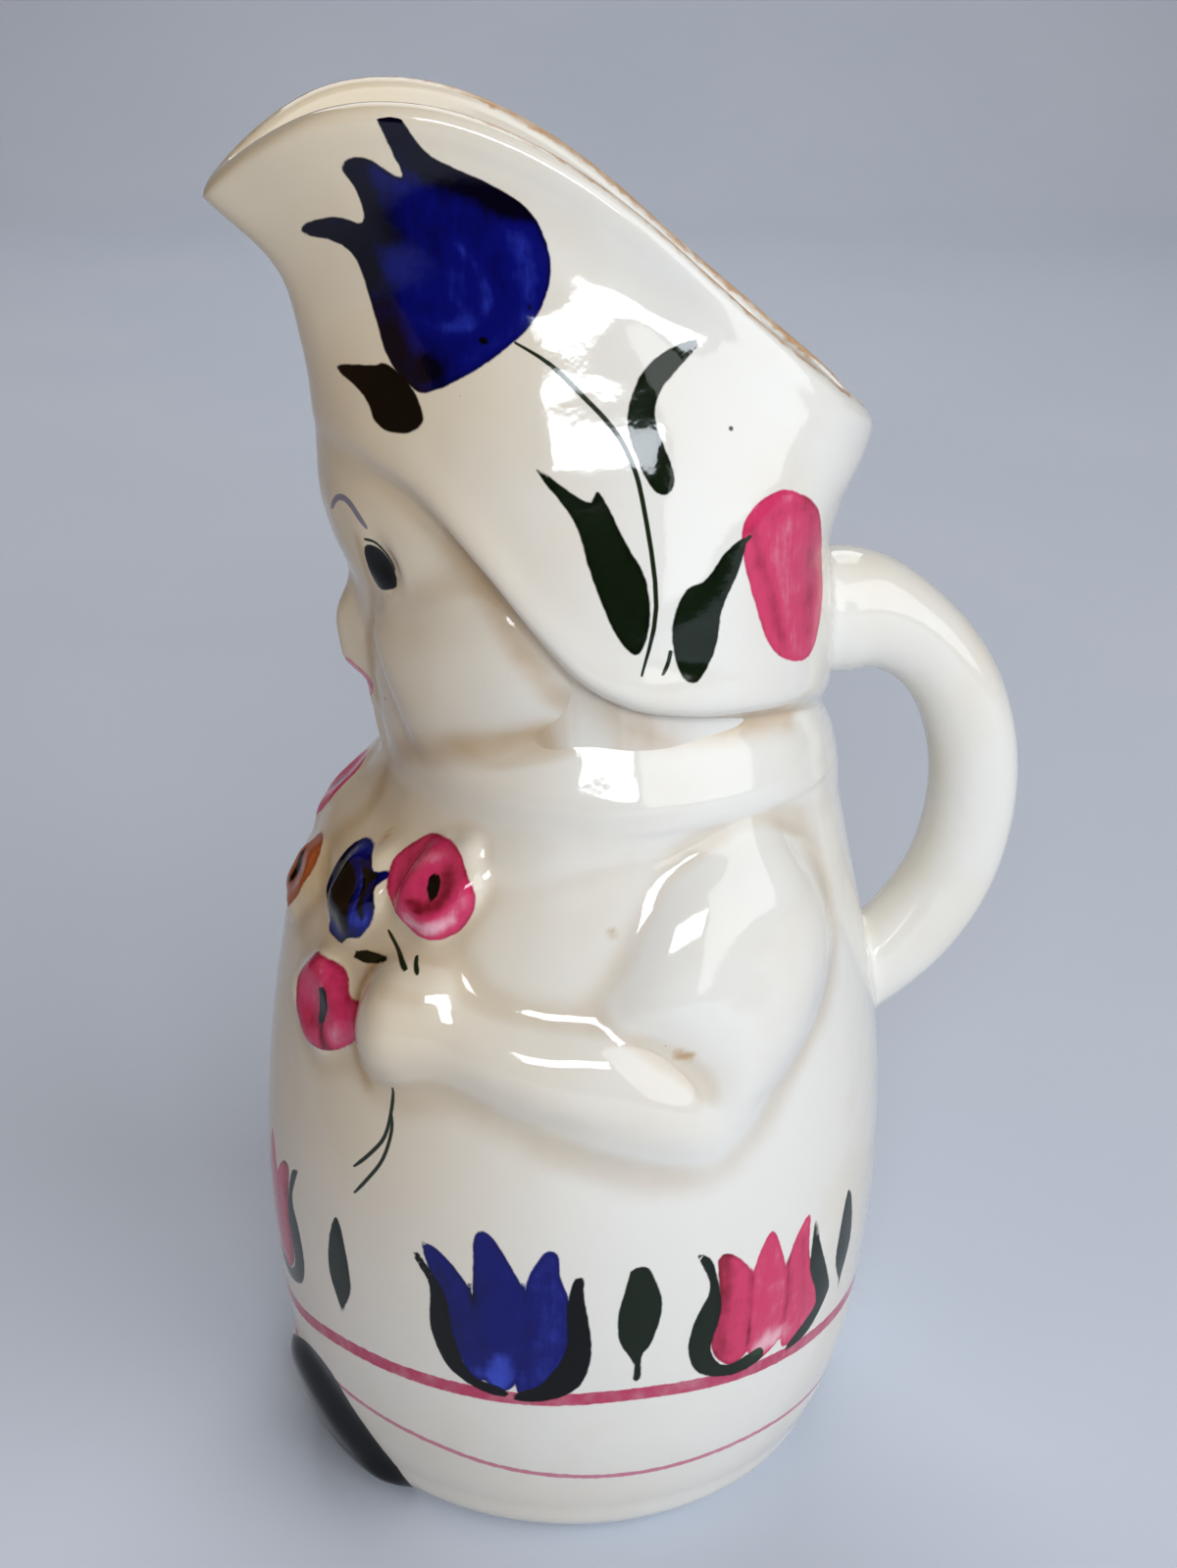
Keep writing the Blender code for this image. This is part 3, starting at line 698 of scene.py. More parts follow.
@dataclass
class Carving:
    """All that is carved on the plain figure."""

    plain: PlainForm = field(default_factory=PlainForm)
    strip: Strip = field(default_factory=Strip)
    bonnet: BonnetRelief = field(default_factory=BonnetRelief)
    lip: LipRelief = field(default_factory=LipRelief)
    shawl: ShawlRelief = field(default_factory=ShawlRelief)
    arm: ArmRelief = field(default_factory=ArmRelief)
    face: FaceRelief = field(default_factory=FaceRelief)
    bouquet: tuple[Bloom, ...] = (
        Bloom(49.5, 129.0, 8.2, 3.4, 5),
        Bloom(30.5, 123.6, 7.2, 3.2, 5),
        Bloom(8.0, 118.0, 6.6, 2.6, 5),
        Bloom(29.5, 103.4, 8.6, 3.4, 4),
        Bloom(-11.0, 129.5, 7.4, 1.9, 5),
    )
    shoe: Points = (
        (4.0, -4.0), (3.5, 10.0), (7.0, 20.0), (16.0, 24.5), (27.0, 22.5), (36.0, 16.0),
        (43.0, 8.0), (47.0, -1.0), (40.0, -6.0),
    )  # fmt: skip
    shoe_rise: float = 3.0
    shoe_shoulder: float = 5.0
    level_ends: float = 9.0
    cloth_passes: int = 5
    folds: tuple[Ridge, ...] = (
        # Back of the sleeve, a fold of the dress behind it, and the mould's seam at the collar.
        Ridge(((127.0, 139.0), (135.5, 128.0), (138.5, 116.0), (134.0, 103.0), (126.0, 94.0)), 1.1, -0.4),
        Ridge(((140.0, 136.0), (147.0, 124.0), (148.0, 108.0)), 1.6, 0.35),
        Ridge(((112.5, 156.0), (113.0, 147.0), (113.5, 141.0)), 1.0, 0.3),
        # Crease from the bouquet over the shawl.
        Ridge(((62.0, 137.5), (76.0, 141.0), (92.0, 146.0)), 2.0, 0.3),
    )

    def relief(self, height: np.ndarray, angle: np.ndarray, lip: np.ndarray) -> np.ndarray:
        """How far the carved surface stands out from the plain figure.

        Args:
            height: heights over the foot.
            angle: angles from the front.
            lip: height of the lip above each place.

        Returns:
            Distances along the plain figure's normals.
        """
        height, angle, lip = np.broadcast_arrays(height, angle, lip)
        across = np.radians(angle) * self.strip.radius
        base = self.bonnet.rise(angle, height) + self.lip.rise(angle, lip - height)
        shown = 1.0 - smooth_step(height - edge_height(self.bonnet.edge, angle), *self.bonnet.step)
        base += self.face.rise(self.strip, across, height, shown)
        shoe = self.shoe_rise * cushion(
            self.strip.inside(self.shoe, np.abs(across), height), self.shoe_shoulder
        )
        raised = self.shawl.rise(angle, height) + self.arm.rise(self.strip, across, height)
        raised += self.strip.ridges(self.folds, np.abs(across), height)
        raised = np.maximum(self.softened(raised, self.cloth_passes), shoe)
        for bloom in self.bouquet:
            raised = np.maximum(raised, bloom.shape(self.strip, across, height))
        return base + raised

    def softened(self, relief: np.ndarray, passes: int = 3) -> np.ndarray:
        """The relief as a coat of glaze leaves it, its sharp edges rounded off.

        Args:
            relief: distances on a grid that closes on itself along its second axis.
            passes: how many times neighbours are averaged.

        Returns:
            The grid with its first and last rows kept.
        """
        for _ in range(passes):
            around = (np.roll(relief, 1, axis=1) + 2.0 * relief + np.roll(relief, -1, axis=1)) / 4.0
            soft = around.copy()
            soft[1:-1] = (around[:-2] + 2.0 * around[1:-1] + around[2:]) / 4.0
            relief = soft
        return relief

    def surface(self, height: np.ndarray, angle: np.ndarray, lip: np.ndarray) -> tuple:
        """Points of the carved figure on a grid, and its relief.

        Args:
            height: heights, one row of the grid for each level.
            angle: angle of each column.
            lip: height of the lip for each column.

        Returns:
            x, y and z of each point, and how far it stands out.
        """
        relief = self.softened(self.relief(height, angle[None, :], lip[None, :]))
        direction = self.plain.normals(height, angle[None, :])
        direction[..., 2] *= smooth_step(height, 0.0, self.level_ends)
        direction[..., 2] *= smooth_step(lip[None, :] - height, 0.0, self.level_ends)
        return self.plain.points(height, angle[None, :]) + direction * relief[..., None], relief


def select_only(obj: bpy.types.Object) -> None:
    """Select this object alone and make it the active one.

    Args:
        obj: the object.
    """
    bpy.ops.object.select_all(action="DESELECT")
    obj.select_set(True)
    bpy.context.view_layer.objects.active = obj


def apply_modifier(obj: bpy.types.Object, name: str) -> None:
    """Make the result of a modifier the object's own mesh."""
    select_only(obj)
    bpy.ops.object.modifier_apply(modifier=name)


def sheet_of(name: str, grid: np.ndarray, wrap: bool) -> bpy.types.Object:
    """A sheet whose points are placed one by one, from a grid primitive.

    Args:
        name: name of the new object.
        grid: positions in metres, rows by columns by 3.
        wrap: whether the last column meets the first.

    Returns:
        The new object, its doubles merged and its faces pointing out.
    """
    if wrap:
        grid = np.concatenate([grid, grid[:, :1]], axis=1)
    rows, columns = grid.shape[:2]
    bpy.ops.object.select_all(action="DESELECT")
    bpy.ops.mesh.primitive_grid_add(x_subdivisions=columns - 1, y_subdivisions=rows - 1, size=1.0)
    obj = bpy.context.object
    obj.name = obj.data.name = name
    obj.data.vertices.foreach_set("co", grid.reshape(-1).astype(np.float32))
    obj.data.update()
    bpy.ops.object.mode_set(mode="EDIT")
    bpy.ops.mesh.select_all(action="SELECT")
    bpy.ops.mesh.remove_doubles(threshold=2e-6)
    bpy.ops.mesh.normals_make_consistent(inside=False)
    bpy.ops.object.mode_set(mode="OBJECT")
    return obj


def positions(obj: bpy.types.Object) -> np.ndarray:
    """The vertices of a mesh in millimetres.

    Args:
        obj: the mesh object.

    Returns:
        One row of three coordinates for each vertex.
    """
    co = np.empty(len(obj.data.vertices) * 3, np.float32)
    obj.data.vertices.foreach_get("co", co)
    return co.reshape(-1, 3).astype(float) / MM


@dataclass
class Vessel:
    """The hollow body: outer wall, rounded lip, inner wall and both bottoms."""

    carving: Carving = field(default_factory=Carving)
    fine_columns: tuple[float, float] = (-24.0, 130.0)
    fine_step: float = 0.92
    coarse_step: float = 1.42
    rows: tuple[tuple[str, float, int], ...] = (
        ("level", 0.0, 1), ("level", 1.6, 2), ("level", 22.0, 17), ("level", 42.0, 21),
        ("level", 73.0, 32), ("level", 94.0, 15), ("level", 140.0, 47), ("edge", -3.4, 44),
        ("edge", 0.6, 5), ("edge", 6.0, 6), ("lip", -12.0, 56), ("lip", -4.0, 8), ("lip", 0.0, 6),
    )  # fmt: skip
    lip_steps: int = 8
    inner_rows: int = 16
    outer_rows: int = 0

    def columns(self) -> np.ndarray:
        """Angles of the columns, closer together on the side with the most painting.

        Returns:
            The angles in degrees.
        """
        low, high = self.fine_columns
        fine = round((high - low) / self.fine_step)
        coarse = round((360.0 - high + low) / self.coarse_step)
        first = np.linspace(low, high, fine, endpoint=False)
        return np.concatenate([first, np.linspace(high, low + 360.0, coarse, endpoint=False)])

    def heights(self, angle: np.ndarray, lip: np.ndarray) -> np.ndarray:
        """Heights of the outer rows: level on the skirt, along the bonnet's edge, then along the lip.

        Args:
            angle: the columns' angles in degrees.
            lip: the lip's height at each column.

        Returns:
            One row of heights for each row of the mesh.
        """
        edge = edge_height(self.carving.bonnet.edge, wrapped(angle))
        lines = {"level": np.zeros_like(angle), "edge": edge, "lip": lip}
        rows: list[np.ndarray] = []
        for line, offset, count in self.rows:
            target = lines[line] + offset
            start = rows[-1] if rows else target
            rows.extend(start + (target - start) * k / count for k in range(1, count + 1))
        return np.array(rows)

    def build(self) -> tuple[bpy.types.Object, np.ndarray, np.ndarray]:
        """Make the vessel's mesh.

        Returns:
            The object, the points of its outer wall and their relief.
        """
        plain = self.carving.plain
        angle = wrapped(self.columns())
        lip = plain.lip_at(angle)
        height = self.heights(angle, lip)
        outer, relief = self.carving.surface(height, angle, lip)
        inner_lip = plain.lip_at(angle, plain.wall)
        share = np.linspace(0.0, 1.0, self.inner_rows + 1)[:, None]
        inner = plain.points(inner_lip + (plain.floor - inner_lip) * share, angle[None, :], plain.wall)
        rings = [np.zeros_like(outer[0]), outer[0] * (0.55, 0.55, 1.0), *outer]
        for k in range(1, self.lip_steps):
            turn = np.pi * k / self.lip_steps
            top = np.array([0.0, 0.0, plain.wall / 2.0])
            middle = (outer[-1] + inner[0]) / 2.0
            rings.append(middle + (outer[-1] - inner[0]) / 2.0 * np.cos(turn) + top * np.sin(turn))
        rings += [*inner, inner[-1] * (0.5, 0.5, 1.0), np.zeros_like(inner[0]) + (0.0, 0.0, plain.floor)]
        grid = np.array(rings) * MM
        self.outer_rows = len(outer)
        return sheet_of("vessel", grid, True), outer.reshape(-1, 3), relief.reshape(-1)


@dataclass
class Handle:
    """The loop handle: a bent rod of squarish section that swells where it leaves the bonnet."""

    path: Points = (
        (35.0, 162.6), (43.5, 163.4), (52.0, 162.8), (60.0, 158.6), (67.0, 151.2), (71.8, 141.0),
        (73.8, 129.5), (73.0, 118.0), (69.6, 107.4), (63.6, 98.4), (56.2, 91.6), (47.5, 85.0),
    )  # fmt: skip
    thickness: float = 16.0
    width: float = 17.2
    swell: float = 0.42
    side_share: float = 0.6
    root_length: float = 13.0
    rings: int = 84
    sides: int = 36
    squareness: float = 0.86
    probe: float = 0.4

    def build(self) -> bpy.types.Object:
        """Make the rod, closed at both ends.

        Returns:
            The rod's mesh.
        """
        knots = np.array(self.path)
        run = np.concatenate([[0.0], np.cumsum(np.linalg.norm(np.diff(knots, axis=0), axis=1))])
        along = np.linspace(0.0, run[-1], self.rings)
        centre = smooth_table(run, knots, along)
        ahead = smooth_table(run, knots, along + self.probe) - smooth_table(run, knots, along - self.probe)
        ahead /= np.linalg.norm(ahead, axis=1, keepdims=True)
        grow = self.swell * bell(np.maximum(along - run[1], 0.0), self.root_length)
        turn = np.linspace(0.0, 2.0 * np.pi, self.sides, endpoint=False)
        wide = np.sign(np.cos(turn)) * np.abs(np.cos(turn)) ** self.squareness
        thick = np.sign(np.sin(turn)) * np.abs(np.sin(turn)) ** self.squareness
        x = wide * self.width / 2.0 * (1.0 + self.side_share * grow[:, None])
        out = thick * self.thickness / 2.0 * (1.0 + grow[:, None])
        y = centre[:, :1] + out * ahead[:, 1:]
        z = centre[:, 1:] - out * ahead[:, :1]
        body = np.stack([x, y, z], axis=-1)
        ends = [np.broadcast_to(body[k].mean(axis=0), body[k].shape) for k in (0, -1)]
        return sheet_of("handle", np.concatenate([ends[:1], body, ends[1:]]) * MM, True)


class Pigment(Enum):
    """The underglaze colours, each with the attribute that holds its distances."""

    COBALT = "cobalt"
    CARMINE = "carmine"
    ORANGE = "orange"
    GREEN = "leaf_green"
    BLACK = "black"


@dataclass(frozen=True)
class Patch:
    """A dab of pigment with a closed outline.

    load is how thickly it lies, from a thin wash at 0 to full strength at 1.
    """

    pigment: Pigment
    outline: Points
    load: float = 0.5


@dataclass(frozen=True)
class Stroke:
    """A stroke of the brush along a path, with its half widths from end to end."""

    pigment: Pigment
    path: Points
    halves: tuple[float, ...]
    load: float = 0.7


@dataclass(frozen=True)
class Shade:
    """A streak inside the paint where it lies thicker, or thinner where change is negative."""

    path: Points
    reach: float
    change: float


@dataclass(frozen=True)
class Motif:
    """Brush marks that belong together, drawn on a strip round the figure or on its side view.

    On a strip the points are (angle from the motif's place, height) and radius turns the angles
    into millimetres. On the side view, radius is 0 and the points are (distance behind the axis,
    height).
    """

    marks: tuple[Patch | Stroke, ...]
    radius: float = 0.0
    shades: tuple[Shade, ...] = ()


@dataclass(frozen=True)
class Placing:
    """Where a motif goes: at an angle on its strip, or on one side of the bonnet.

    side is 0 for a motif on a strip, 1 for the bonnet's left side and -1 for its right.
    """

    motif: Motif
    at: float = 0.0
    side: int = 0
    mirrored: bool = False


BLUE_TULIP = Motif(
    radius=57.5,
    marks=(
        # Left, right and middle petal, then the leaf on each side.
        Patch(Pigment.COBALT, (
            (-12.5, 67.5), (-11.0, 68.0), (-8.0, 66.5), (-3.5, 61.0), (-2.0, 55.0), (0.0, 44.5),
            (-3.0, 41.0), (-7.5, 50.5), (-10.5, 61.0),
        ), 0.56),
        Patch(Pigment.COBALT, (
            (11.5, 70.0), (9.0, 70.0), (6.0, 63.0), (6.0, 53.0), (4.5, 43.0), (5.5, 39.5),
            (12.0, 44.0), (14.0, 55.0), (13.5, 61.0), (12.0, 65.5),
        ), 0.44),
        Patch(Pigment.COBALT, (
            (-2.0, 73.0), (0.0, 72.5), (2.5, 69.0), (6.0, 62.0), (7.0, 56.0), (5.0, 43.0),
            (1.5, 39.5), (-2.0, 44.0), (-3.0, 54.5), (-3.0, 67.0), (-3.0, 71.0),
        ), 0.52),
        Patch(Pigment.BLACK, (
            (-14.0, 64.5), (-11.0, 59.5), (-11.0, 51.0), (-8.0, 43.0), (-2.0, 39.0), (3.0, 38.5),
            (2.0, 40.5), (-3.5, 42.5), (-6.5, 50.0), (-8.0, 58.5), (-13.0, 65.5),
        ), 0.5),
        Patch(Pigment.BLACK, (
            (16.0, 65.0), (16.0, 62.0), (17.5, 50.0), (15.5, 42.0), (10.0, 38.5), (4.0, 38.0),
            (5.0, 40.0), (9.0, 42.5), (13.0, 50.0), (13.0, 58.5), (14.0, 64.5), (15.0, 65.5),
        ), 0.4),
    ),
    shades=(
        Shade(((1.0, 40.5), (2.0, 43.5), (2.0, 46.0)), 2.5, -0.42),
        Shade(((-4.0, 44.0), (-1.0, 43.0)), 1.8, -0.2),
        Shade(((-2.0, 58.0), (-1.5, 64.0), (0.0, 69.0)), 2.2, 0.08),
        Shade(((6.5, 62.0), (7.0, 55.0), (6.0, 46.0)), 0.8, 0.16),
        Shade(((-3.0, 60.0), (-2.0, 54.0), (-0.5, 47.0)), 0.8, 0.16),
        Shade(((-9.0, 62.0), (-7.5, 55.0), (-5.5, 48.0)), 1.5, 0.16),
        Shade(((10.5, 62.0), (11.0, 55.0), (10.0, 47.0)), 1.8, -0.06),
    ),
)  # fmt: skip

PINK_TULIP = Motif(
    radius=57.5,
    marks=(
        # Left, right and middle petal, then the leaf on each side.
        Patch(Pigment.CARMINE, (
            (-11.5, 66.0), (-8.5, 65.5), (-4.5, 60.0), (-4.0, 49.5), (-3.5, 44.0), (-7.5, 41.0),
            (-12.0, 46.5), (-11.0, 56.0), (-11.5, 62.5),
        ), 0.55),
        Patch(Pigment.CARMINE, (
            (9.0, 66.5), (9.5, 58.0), (13.5, 46.0), (13.0, 41.5), (4.5, 39.5), (4.0, 49.0),
            (3.5, 58.0), (5.5, 63.5),
        ), 0.42),
        Patch(Pigment.CARMINE, (
            (-0.5, 67.5), (2.0, 62.5), (4.0, 55.0), (5.0, 45.0), (1.5, 40.5), (-3.5, 40.5),
            (-5.0, 55.0), (-3.5, 63.0),
        ), 0.42),
        Patch(Pigment.GREEN, (
            (-15.5, 67.0), (-13.0, 60.0), (-15.5, 54.0), (-16.5, 47.5), (-14.0, 41.5), (-7.0, 38.5),
            (-0.5, 39.5), (-1.5, 42.5), (-8.5, 41.5), (-12.0, 46.5), (-10.5, 55.0), (-12.5, 65.0),
            (-15.0, 67.5),
        ), 0.6),
        Patch(Pigment.GREEN, (
            (11.5, 65.0), (12.5, 59.0), (17.0, 48.0), (17.0, 44.5), (12.0, 39.0), (6.5, 38.0),
            (5.5, 39.0), (10.5, 42.5), (13.0, 44.5), (12.5, 48.0), (10.0, 54.0), (10.0, 59.5),
            (10.5, 64.0),
        ), 0.6),
    ),
    shades=(
        Shade(((-2.5, 41.5), (0.0, 43.0), (2.5, 43.0)), 1.8, -0.42),
        Shade(((-4.5, 59.0), (-4.5, 52.0), (-4.0, 45.0)), 0.7, 0.26),
        Shade(((4.0, 60.0), (4.5, 52.0), (4.0, 46.0)), 0.8, 0.35),
        Shade(((-10.0, 65.0), (-10.0, 58.0), (-10.5, 50.0), (-10.0, 45.0)), 1.6, 0.25),
        Shade(((7.0, 62.0), (8.0, 54.0), (10.0, 46.0)), 1.8, 0.18),
        Shade(((-1.0, 63.0), (-1.0, 55.0), (-1.5, 49.0)), 1.6, 0.10),
    ),
)  # fmt: skip

LEAF = Motif(
    radius=57.5,
    marks=(
        Patch(Pigment.GREEN, (
            (-2.0, 66.5), (-1.0, 67.0), (0.5, 67.0), (1.5, 66.0), (3.5, 60.5), (3.5, 56.0),
            (2.0, 50.5), (0.5, 48.0), (0.5, 43.0), (-0.5, 42.5), (-1.0, 43.0), (-1.0, 46.5),
            (-3.5, 51.5), (-4.0, 57.0), (-3.0, 62.0),
        ), 0.55),
    ),
)  # fmt: skip

SLIM_LEAF = Motif(
    radius=57.5,
    marks=(
        Patch(Pigment.GREEN, (
            (0.5, 65.0), (2.5, 59.5), (3.0, 52.0), (0.5, 45.0), (0.0, 41.5), (-0.5, 45.0),
            (-3.0, 51.5), (-1.5, 61.0),
        ), 0.6),
    ),
)  # fmt: skip

BOUQUET_PAINT = Motif(
    radius=48.0,
    marks=(
        # Upper red, lower red, blue, orange and far pink flower.
        Patch(Pigment.CARMINE, (
            (37.5, 131.5), (41.5, 134.5), (46.0, 136.0), (54.0, 136.0), (57.5, 133.5), (60.5, 130.0),
            (60.0, 126.0), (57.0, 122.5), (52.0, 121.0), (46.0, 122.0), (40.0, 125.0), (37.5, 129.0),
        ), 0.60),
        Patch(Pigment.CARMINE, (
            (24.5, 111.0), (27.0, 112.0), (30.5, 112.0), (34.0, 111.0), (36.5, 108.0), (38.5, 107.5),
            (41.5, 109.0), (41.5, 105.0), (40.0, 101.0), (35.0, 97.0), (31.0, 96.0), (26.0, 97.5),
            (24.0, 102.0), (23.5, 107.0),
        ), 0.62),
        Patch(Pigment.COBALT, (
            (23.0, 130.0), (28.0, 131.0), (32.5, 130.0), (35.0, 128.5), (38.0, 129.0), (38.5, 128.0),
            (37.0, 126.5), (38.0, 123.0), (36.5, 119.0), (35.5, 118.0), (35.5, 117.0), (32.0, 116.0),
            (30.5, 114.5), (28.5, 114.5), (25.0, 115.0), (24.0, 117.5), (19.0, 119.5), (18.0, 122.5),
            (20.0, 127.0),
        ), 0.72),
        Patch(Pigment.ORANGE, (
            (3.0, 124.5), (9.0, 125.5), (12.0, 123.5), (13.5, 119.0), (11.0, 114.5), (7.0, 112.0),
            (3.0, 115.0), (2.0, 119.5),
        ), 0.55),
        Patch(Pigment.CARMINE, (
            (-11.0, 135.5), (-5.5, 133.0), (-4.0, 128.0), (-9.0, 123.0), (-14.5, 123.0),
            (-19.0, 129.0), (-16.5, 134.5),
        ), 0.45),
        # Their dark hearts, and a green stroke below.
        Stroke(Pigment.BLACK, ((50.5, 130.5), (51.0, 129.5), (51.5, 128.5)), (1.1, 1.4, 1.0)),
        Stroke(Pigment.BLACK, ((31.5, 107.0), (32.0, 105.0), (32.0, 102.5)), (1.1, 1.6, 1.0)),
        Patch(Pigment.BLACK, (
            (20.0, 126.0), (26.0, 128.0), (30.0, 126.0), (33.0, 120.0), (32.0, 117.0),
            (26.5, 117.5), (19.5, 122.5),
        ), 0.6),
        Patch(Pigment.BLACK, (
            (29.5, 129.0), (34.0, 128.5), (38.0, 128.0), (35.5, 127.0), (36.0, 122.0),
            (35.0, 120.0), (33.5, 125.5),
        ), 0.6),
        Stroke(Pigment.BLACK, ((5.5, 122.0), (6.5, 119.5), (6.0, 117.0)), (0.7, 1.0, 0.7)),
        Stroke(Pigment.BLACK, ((-10.0, 131.5), (-11.0, 129.0)), (0.8, 1.0)),
        Stroke(Pigment.GREEN, ((35.0, 114.0), (40.0, 115.0), (43.5, 116.0)), (0.7, 1.1, 0.8, 0.4)),
    ),
    shades=(
        Shade(((52.5, 132.0), (54.5, 130.0), (54.0, 128.0), (52.0, 127.0)), 1.3, 0.28),
        Shade(((47.0, 126.5), (49.5, 126.0)), 0.9, 0.4),
        Shade(((44.0, 131.5), (48.0, 133.5), (52.0, 134.0)), 1.6, -0.24),
        Shade(((46.0, 123.5), (51.0, 123.0), (56.0, 125.0)), 1.5, -0.5),
        Shade(((58.0, 127.5), (58.0, 130.5)), 1.4, -0.24),
        Shade(((32.0, 102.5), (33.0, 100.0), (33.0, 97.5)), 0.6, 0.6),
        Shade(((29.5, 111.0), (31.0, 109.5), (31.0, 107.0)), 0.8, -0.25),
        Shade(((27.0, 108.5), (27.5, 104.0)), 1.5, -0.14),
        Shade(((36.5, 102.0), (35.0, 99.0)), 1.9, -0.28),
        Shade(((31.5, 127.5), (33.5, 124.0), (34.0, 119.5)), 0.9, -0.5),
        Shade(((36.5, 121.5), (36.0, 118.5)), 1.2, -0.4),
        Shade(((24.5, 129.5), (30.0, 130.0)), 1.1, -0.3),
        Shade(((22.5, 118.5), (28.0, 115.5)), 1.2, -0.3),
    ),
)  # fmt: skip

FACE_PAINT = Motif(
    radius=46.0,
    marks=(
        # One eye, and the lips.
        Patch(Pigment.BLACK, (
            (24.5, 182.5), (28.0, 183.0), (33.0, 178.5), (32.0, 176.5), (26.0, 175.5), (24.5, 178.5),
        ), 0.6),
        Patch(Pigment.CARMINE, (
            (-6.5, 154.0), (-3.0, 157.5), (0.0, 157.0), (3.0, 157.5), (6.5, 154.0), (4.5, 151.0),
            (0.0, 149.5), (-4.5, 151.0),
        ), 0.16),
    ),
    shades=(Shade(((-5.0, 153.0), (5.0, 153.0)), 0.9, 0.2),),
)  # fmt: skip

SHOE_PAINT = Motif(
    radius=54.0,
    marks=(
        Patch(Pigment.BLACK, (
            (6.0, 1.5), (5.0, 9.0), (8.0, 19.0), (19.0, 25.5), (29.0, 26.0), (36.0, 19.5),
            (43.5, 10.0), (45.5, 1.0), (24.0, 0.5),
        ), 0.55),
    ),
)  # fmt: skip

BONNET_PAINT = Motif(
    marks=(
        # The big tulip with its three tips, and the dark leaf in front of it.
        Patch(Pigment.COBALT, (
            (-35.5, 251.0), (-32.5, 251.5), (-30.5, 248.5), (-27.0, 244.5), (-19.0, 241.0),
            (-13.0, 237.5), (-10.0, 232.5), (-9.5, 227.0), (-12.0, 221.0), (-18.0, 215.5),
            (-26.0, 210.5), (-30.0, 209.5), (-34.0, 213.5), (-36.0, 220.0), (-38.5, 228.0),
            (-42.0, 230.5), (-46.5, 231.0), (-46.0, 233.0), (-41.5, 234.5), (-37.5, 234.0),
            (-38.0, 238.0), (-40.5, 242.5), (-37.0, 244.0), (-31.5, 241.0), (-33.0, 245.0),
        ), 0.66),
        Patch(Pigment.BLACK, (
            (-42.0, 211.0), (-36.0, 212.5), (-34.5, 213.0), (-31.0, 210.5), (-29.0, 205.5),
            (-32.0, 203.0), (-36.0, 203.5), (-38.0, 207.5),
        ), 0.7),
        # Upper and lower leaf of the stem, the bud, and the leaf under the bud.
        Patch(Pigment.GREEN, (
            (13.0, 218.5), (9.0, 217.5), (4.0, 214.0), (1.5, 207.5), (3.0, 201.5), (5.5, 197.0),
            (8.0, 197.0), (8.5, 200.0), (6.0, 207.0), (7.0, 211.5), (12.0, 216.5),
        ), 0.6),
        Patch(Pigment.GREEN, (
            (-12.0, 200.0), (-7.5, 197.0), (-4.5, 195.5), (-3.0, 197.0), (1.0, 189.5), (4.0, 184.0),
            (4.5, 177.0), (2.5, 172.5), (-1.0, 176.0), (-4.5, 184.5), (-7.0, 192.5), (-12.0, 199.0),
        ), 0.6),
        Patch(Pigment.CARMINE, (
            (19.5, 188.5), (21.5, 193.5), (27.0, 195.5), (33.0, 192.0), (35.5, 186.5), (37.5, 175.0),
            (35.5, 167.0), (32.0, 165.5), (26.0, 169.5), (22.5, 177.5),
        ), 0.46),
        Patch(Pigment.GREEN, (
            (20.5, 189.0), (19.0, 183.5), (16.5, 178.5), (15.5, 172.5), (12.5, 167.5), (9.5, 169.0),
            (8.0, 176.0), (10.0, 182.0), (13.5, 183.5), (17.0, 187.5),
        ), 0.6),
        # Two drops of paint on the tulip.
        Patch(Pigment.BLACK, ((-12.5, 224.0), (-12.0, 223.0), (-12.5, 222.0), (-13.0, 223.0)), 0.2),
        Patch(Pigment.BLACK, ((-20.5, 218.0), (-19.5, 218.5), (-19.0, 217.5), (-20.0, 217.0)), 0.2),
    ),
    shades=(
        Shade(((-23.5, 232.0), (-20.5, 228.5), (-19.0, 225.0), (-19.0, 222.0)), 0.9, -0.26),
        Shade(((-29.0, 220.0), (-26.0, 219.0), (-21.5, 219.5)), 1.2, -0.22),
        Shade(((-24.0, 226.0), (-22.0, 222.0)), 3.4, -0.26),
        Shade(((-14.5, 234.0), (-13.0, 229.5), (-13.0, 224.0)), 2.4, -0.32),
        Shade(((-22.0, 215.0), (-17.0, 218.0), (-13.5, 221.0)), 1.5, -0.2),
        Shade(((-34.0, 250.5), (-31.5, 246.0), (-27.5, 242.5), (-20.0, 240.0), (-14.0, 236.5)), 2.0, 0.45),
        Shade(((-45.5, 232.0), (-41.5, 232.5), (-38.0, 230.5), (-36.5, 226.0)), 1.7, 0.5),
        Shade(((-39.0, 242.5), (-37.0, 238.0), (-34.5, 232.5)), 2.6, 0.35),
        Shade(((-34.0, 215.5), (-30.5, 212.5), (-28.0, 213.0)), 2.2, 0.45),
        Shade(((-35.0, 224.0), (-33.5, 218.0)), 2.2, 0.25),
        Shade(((-32.0, 228.0), (-29.5, 224.0)), 2.2, -0.2),
        Shade(((28.0, 194.0), (27.5, 182.0), (29.5, 170.0)), 1.2, -0.10),
        Shade(((32.5, 191.0), (33.5, 181.0), (33.5, 170.0)), 1.5, 0.22),
        Shade(((21.5, 190.0), (25.0, 180.0), (28.5, 169.5)), 1.3, 0.25),
        Shade(((24.5, 192.0), (31.0, 192.5)), 1.5, 0.15),
    ),
)  # fmt: skip


@dataclass(frozen=True)
class FineLine:
    """A line of the thinnest brush.

    radius is that of the strip on which it is drawn, 0 for the side view. Lines that come closer
    to each other than a few millimetres lie in different layers.
    """

    path: Points
    half: float
    radius: float
    layer: str = "line"
    both_sides: bool = False


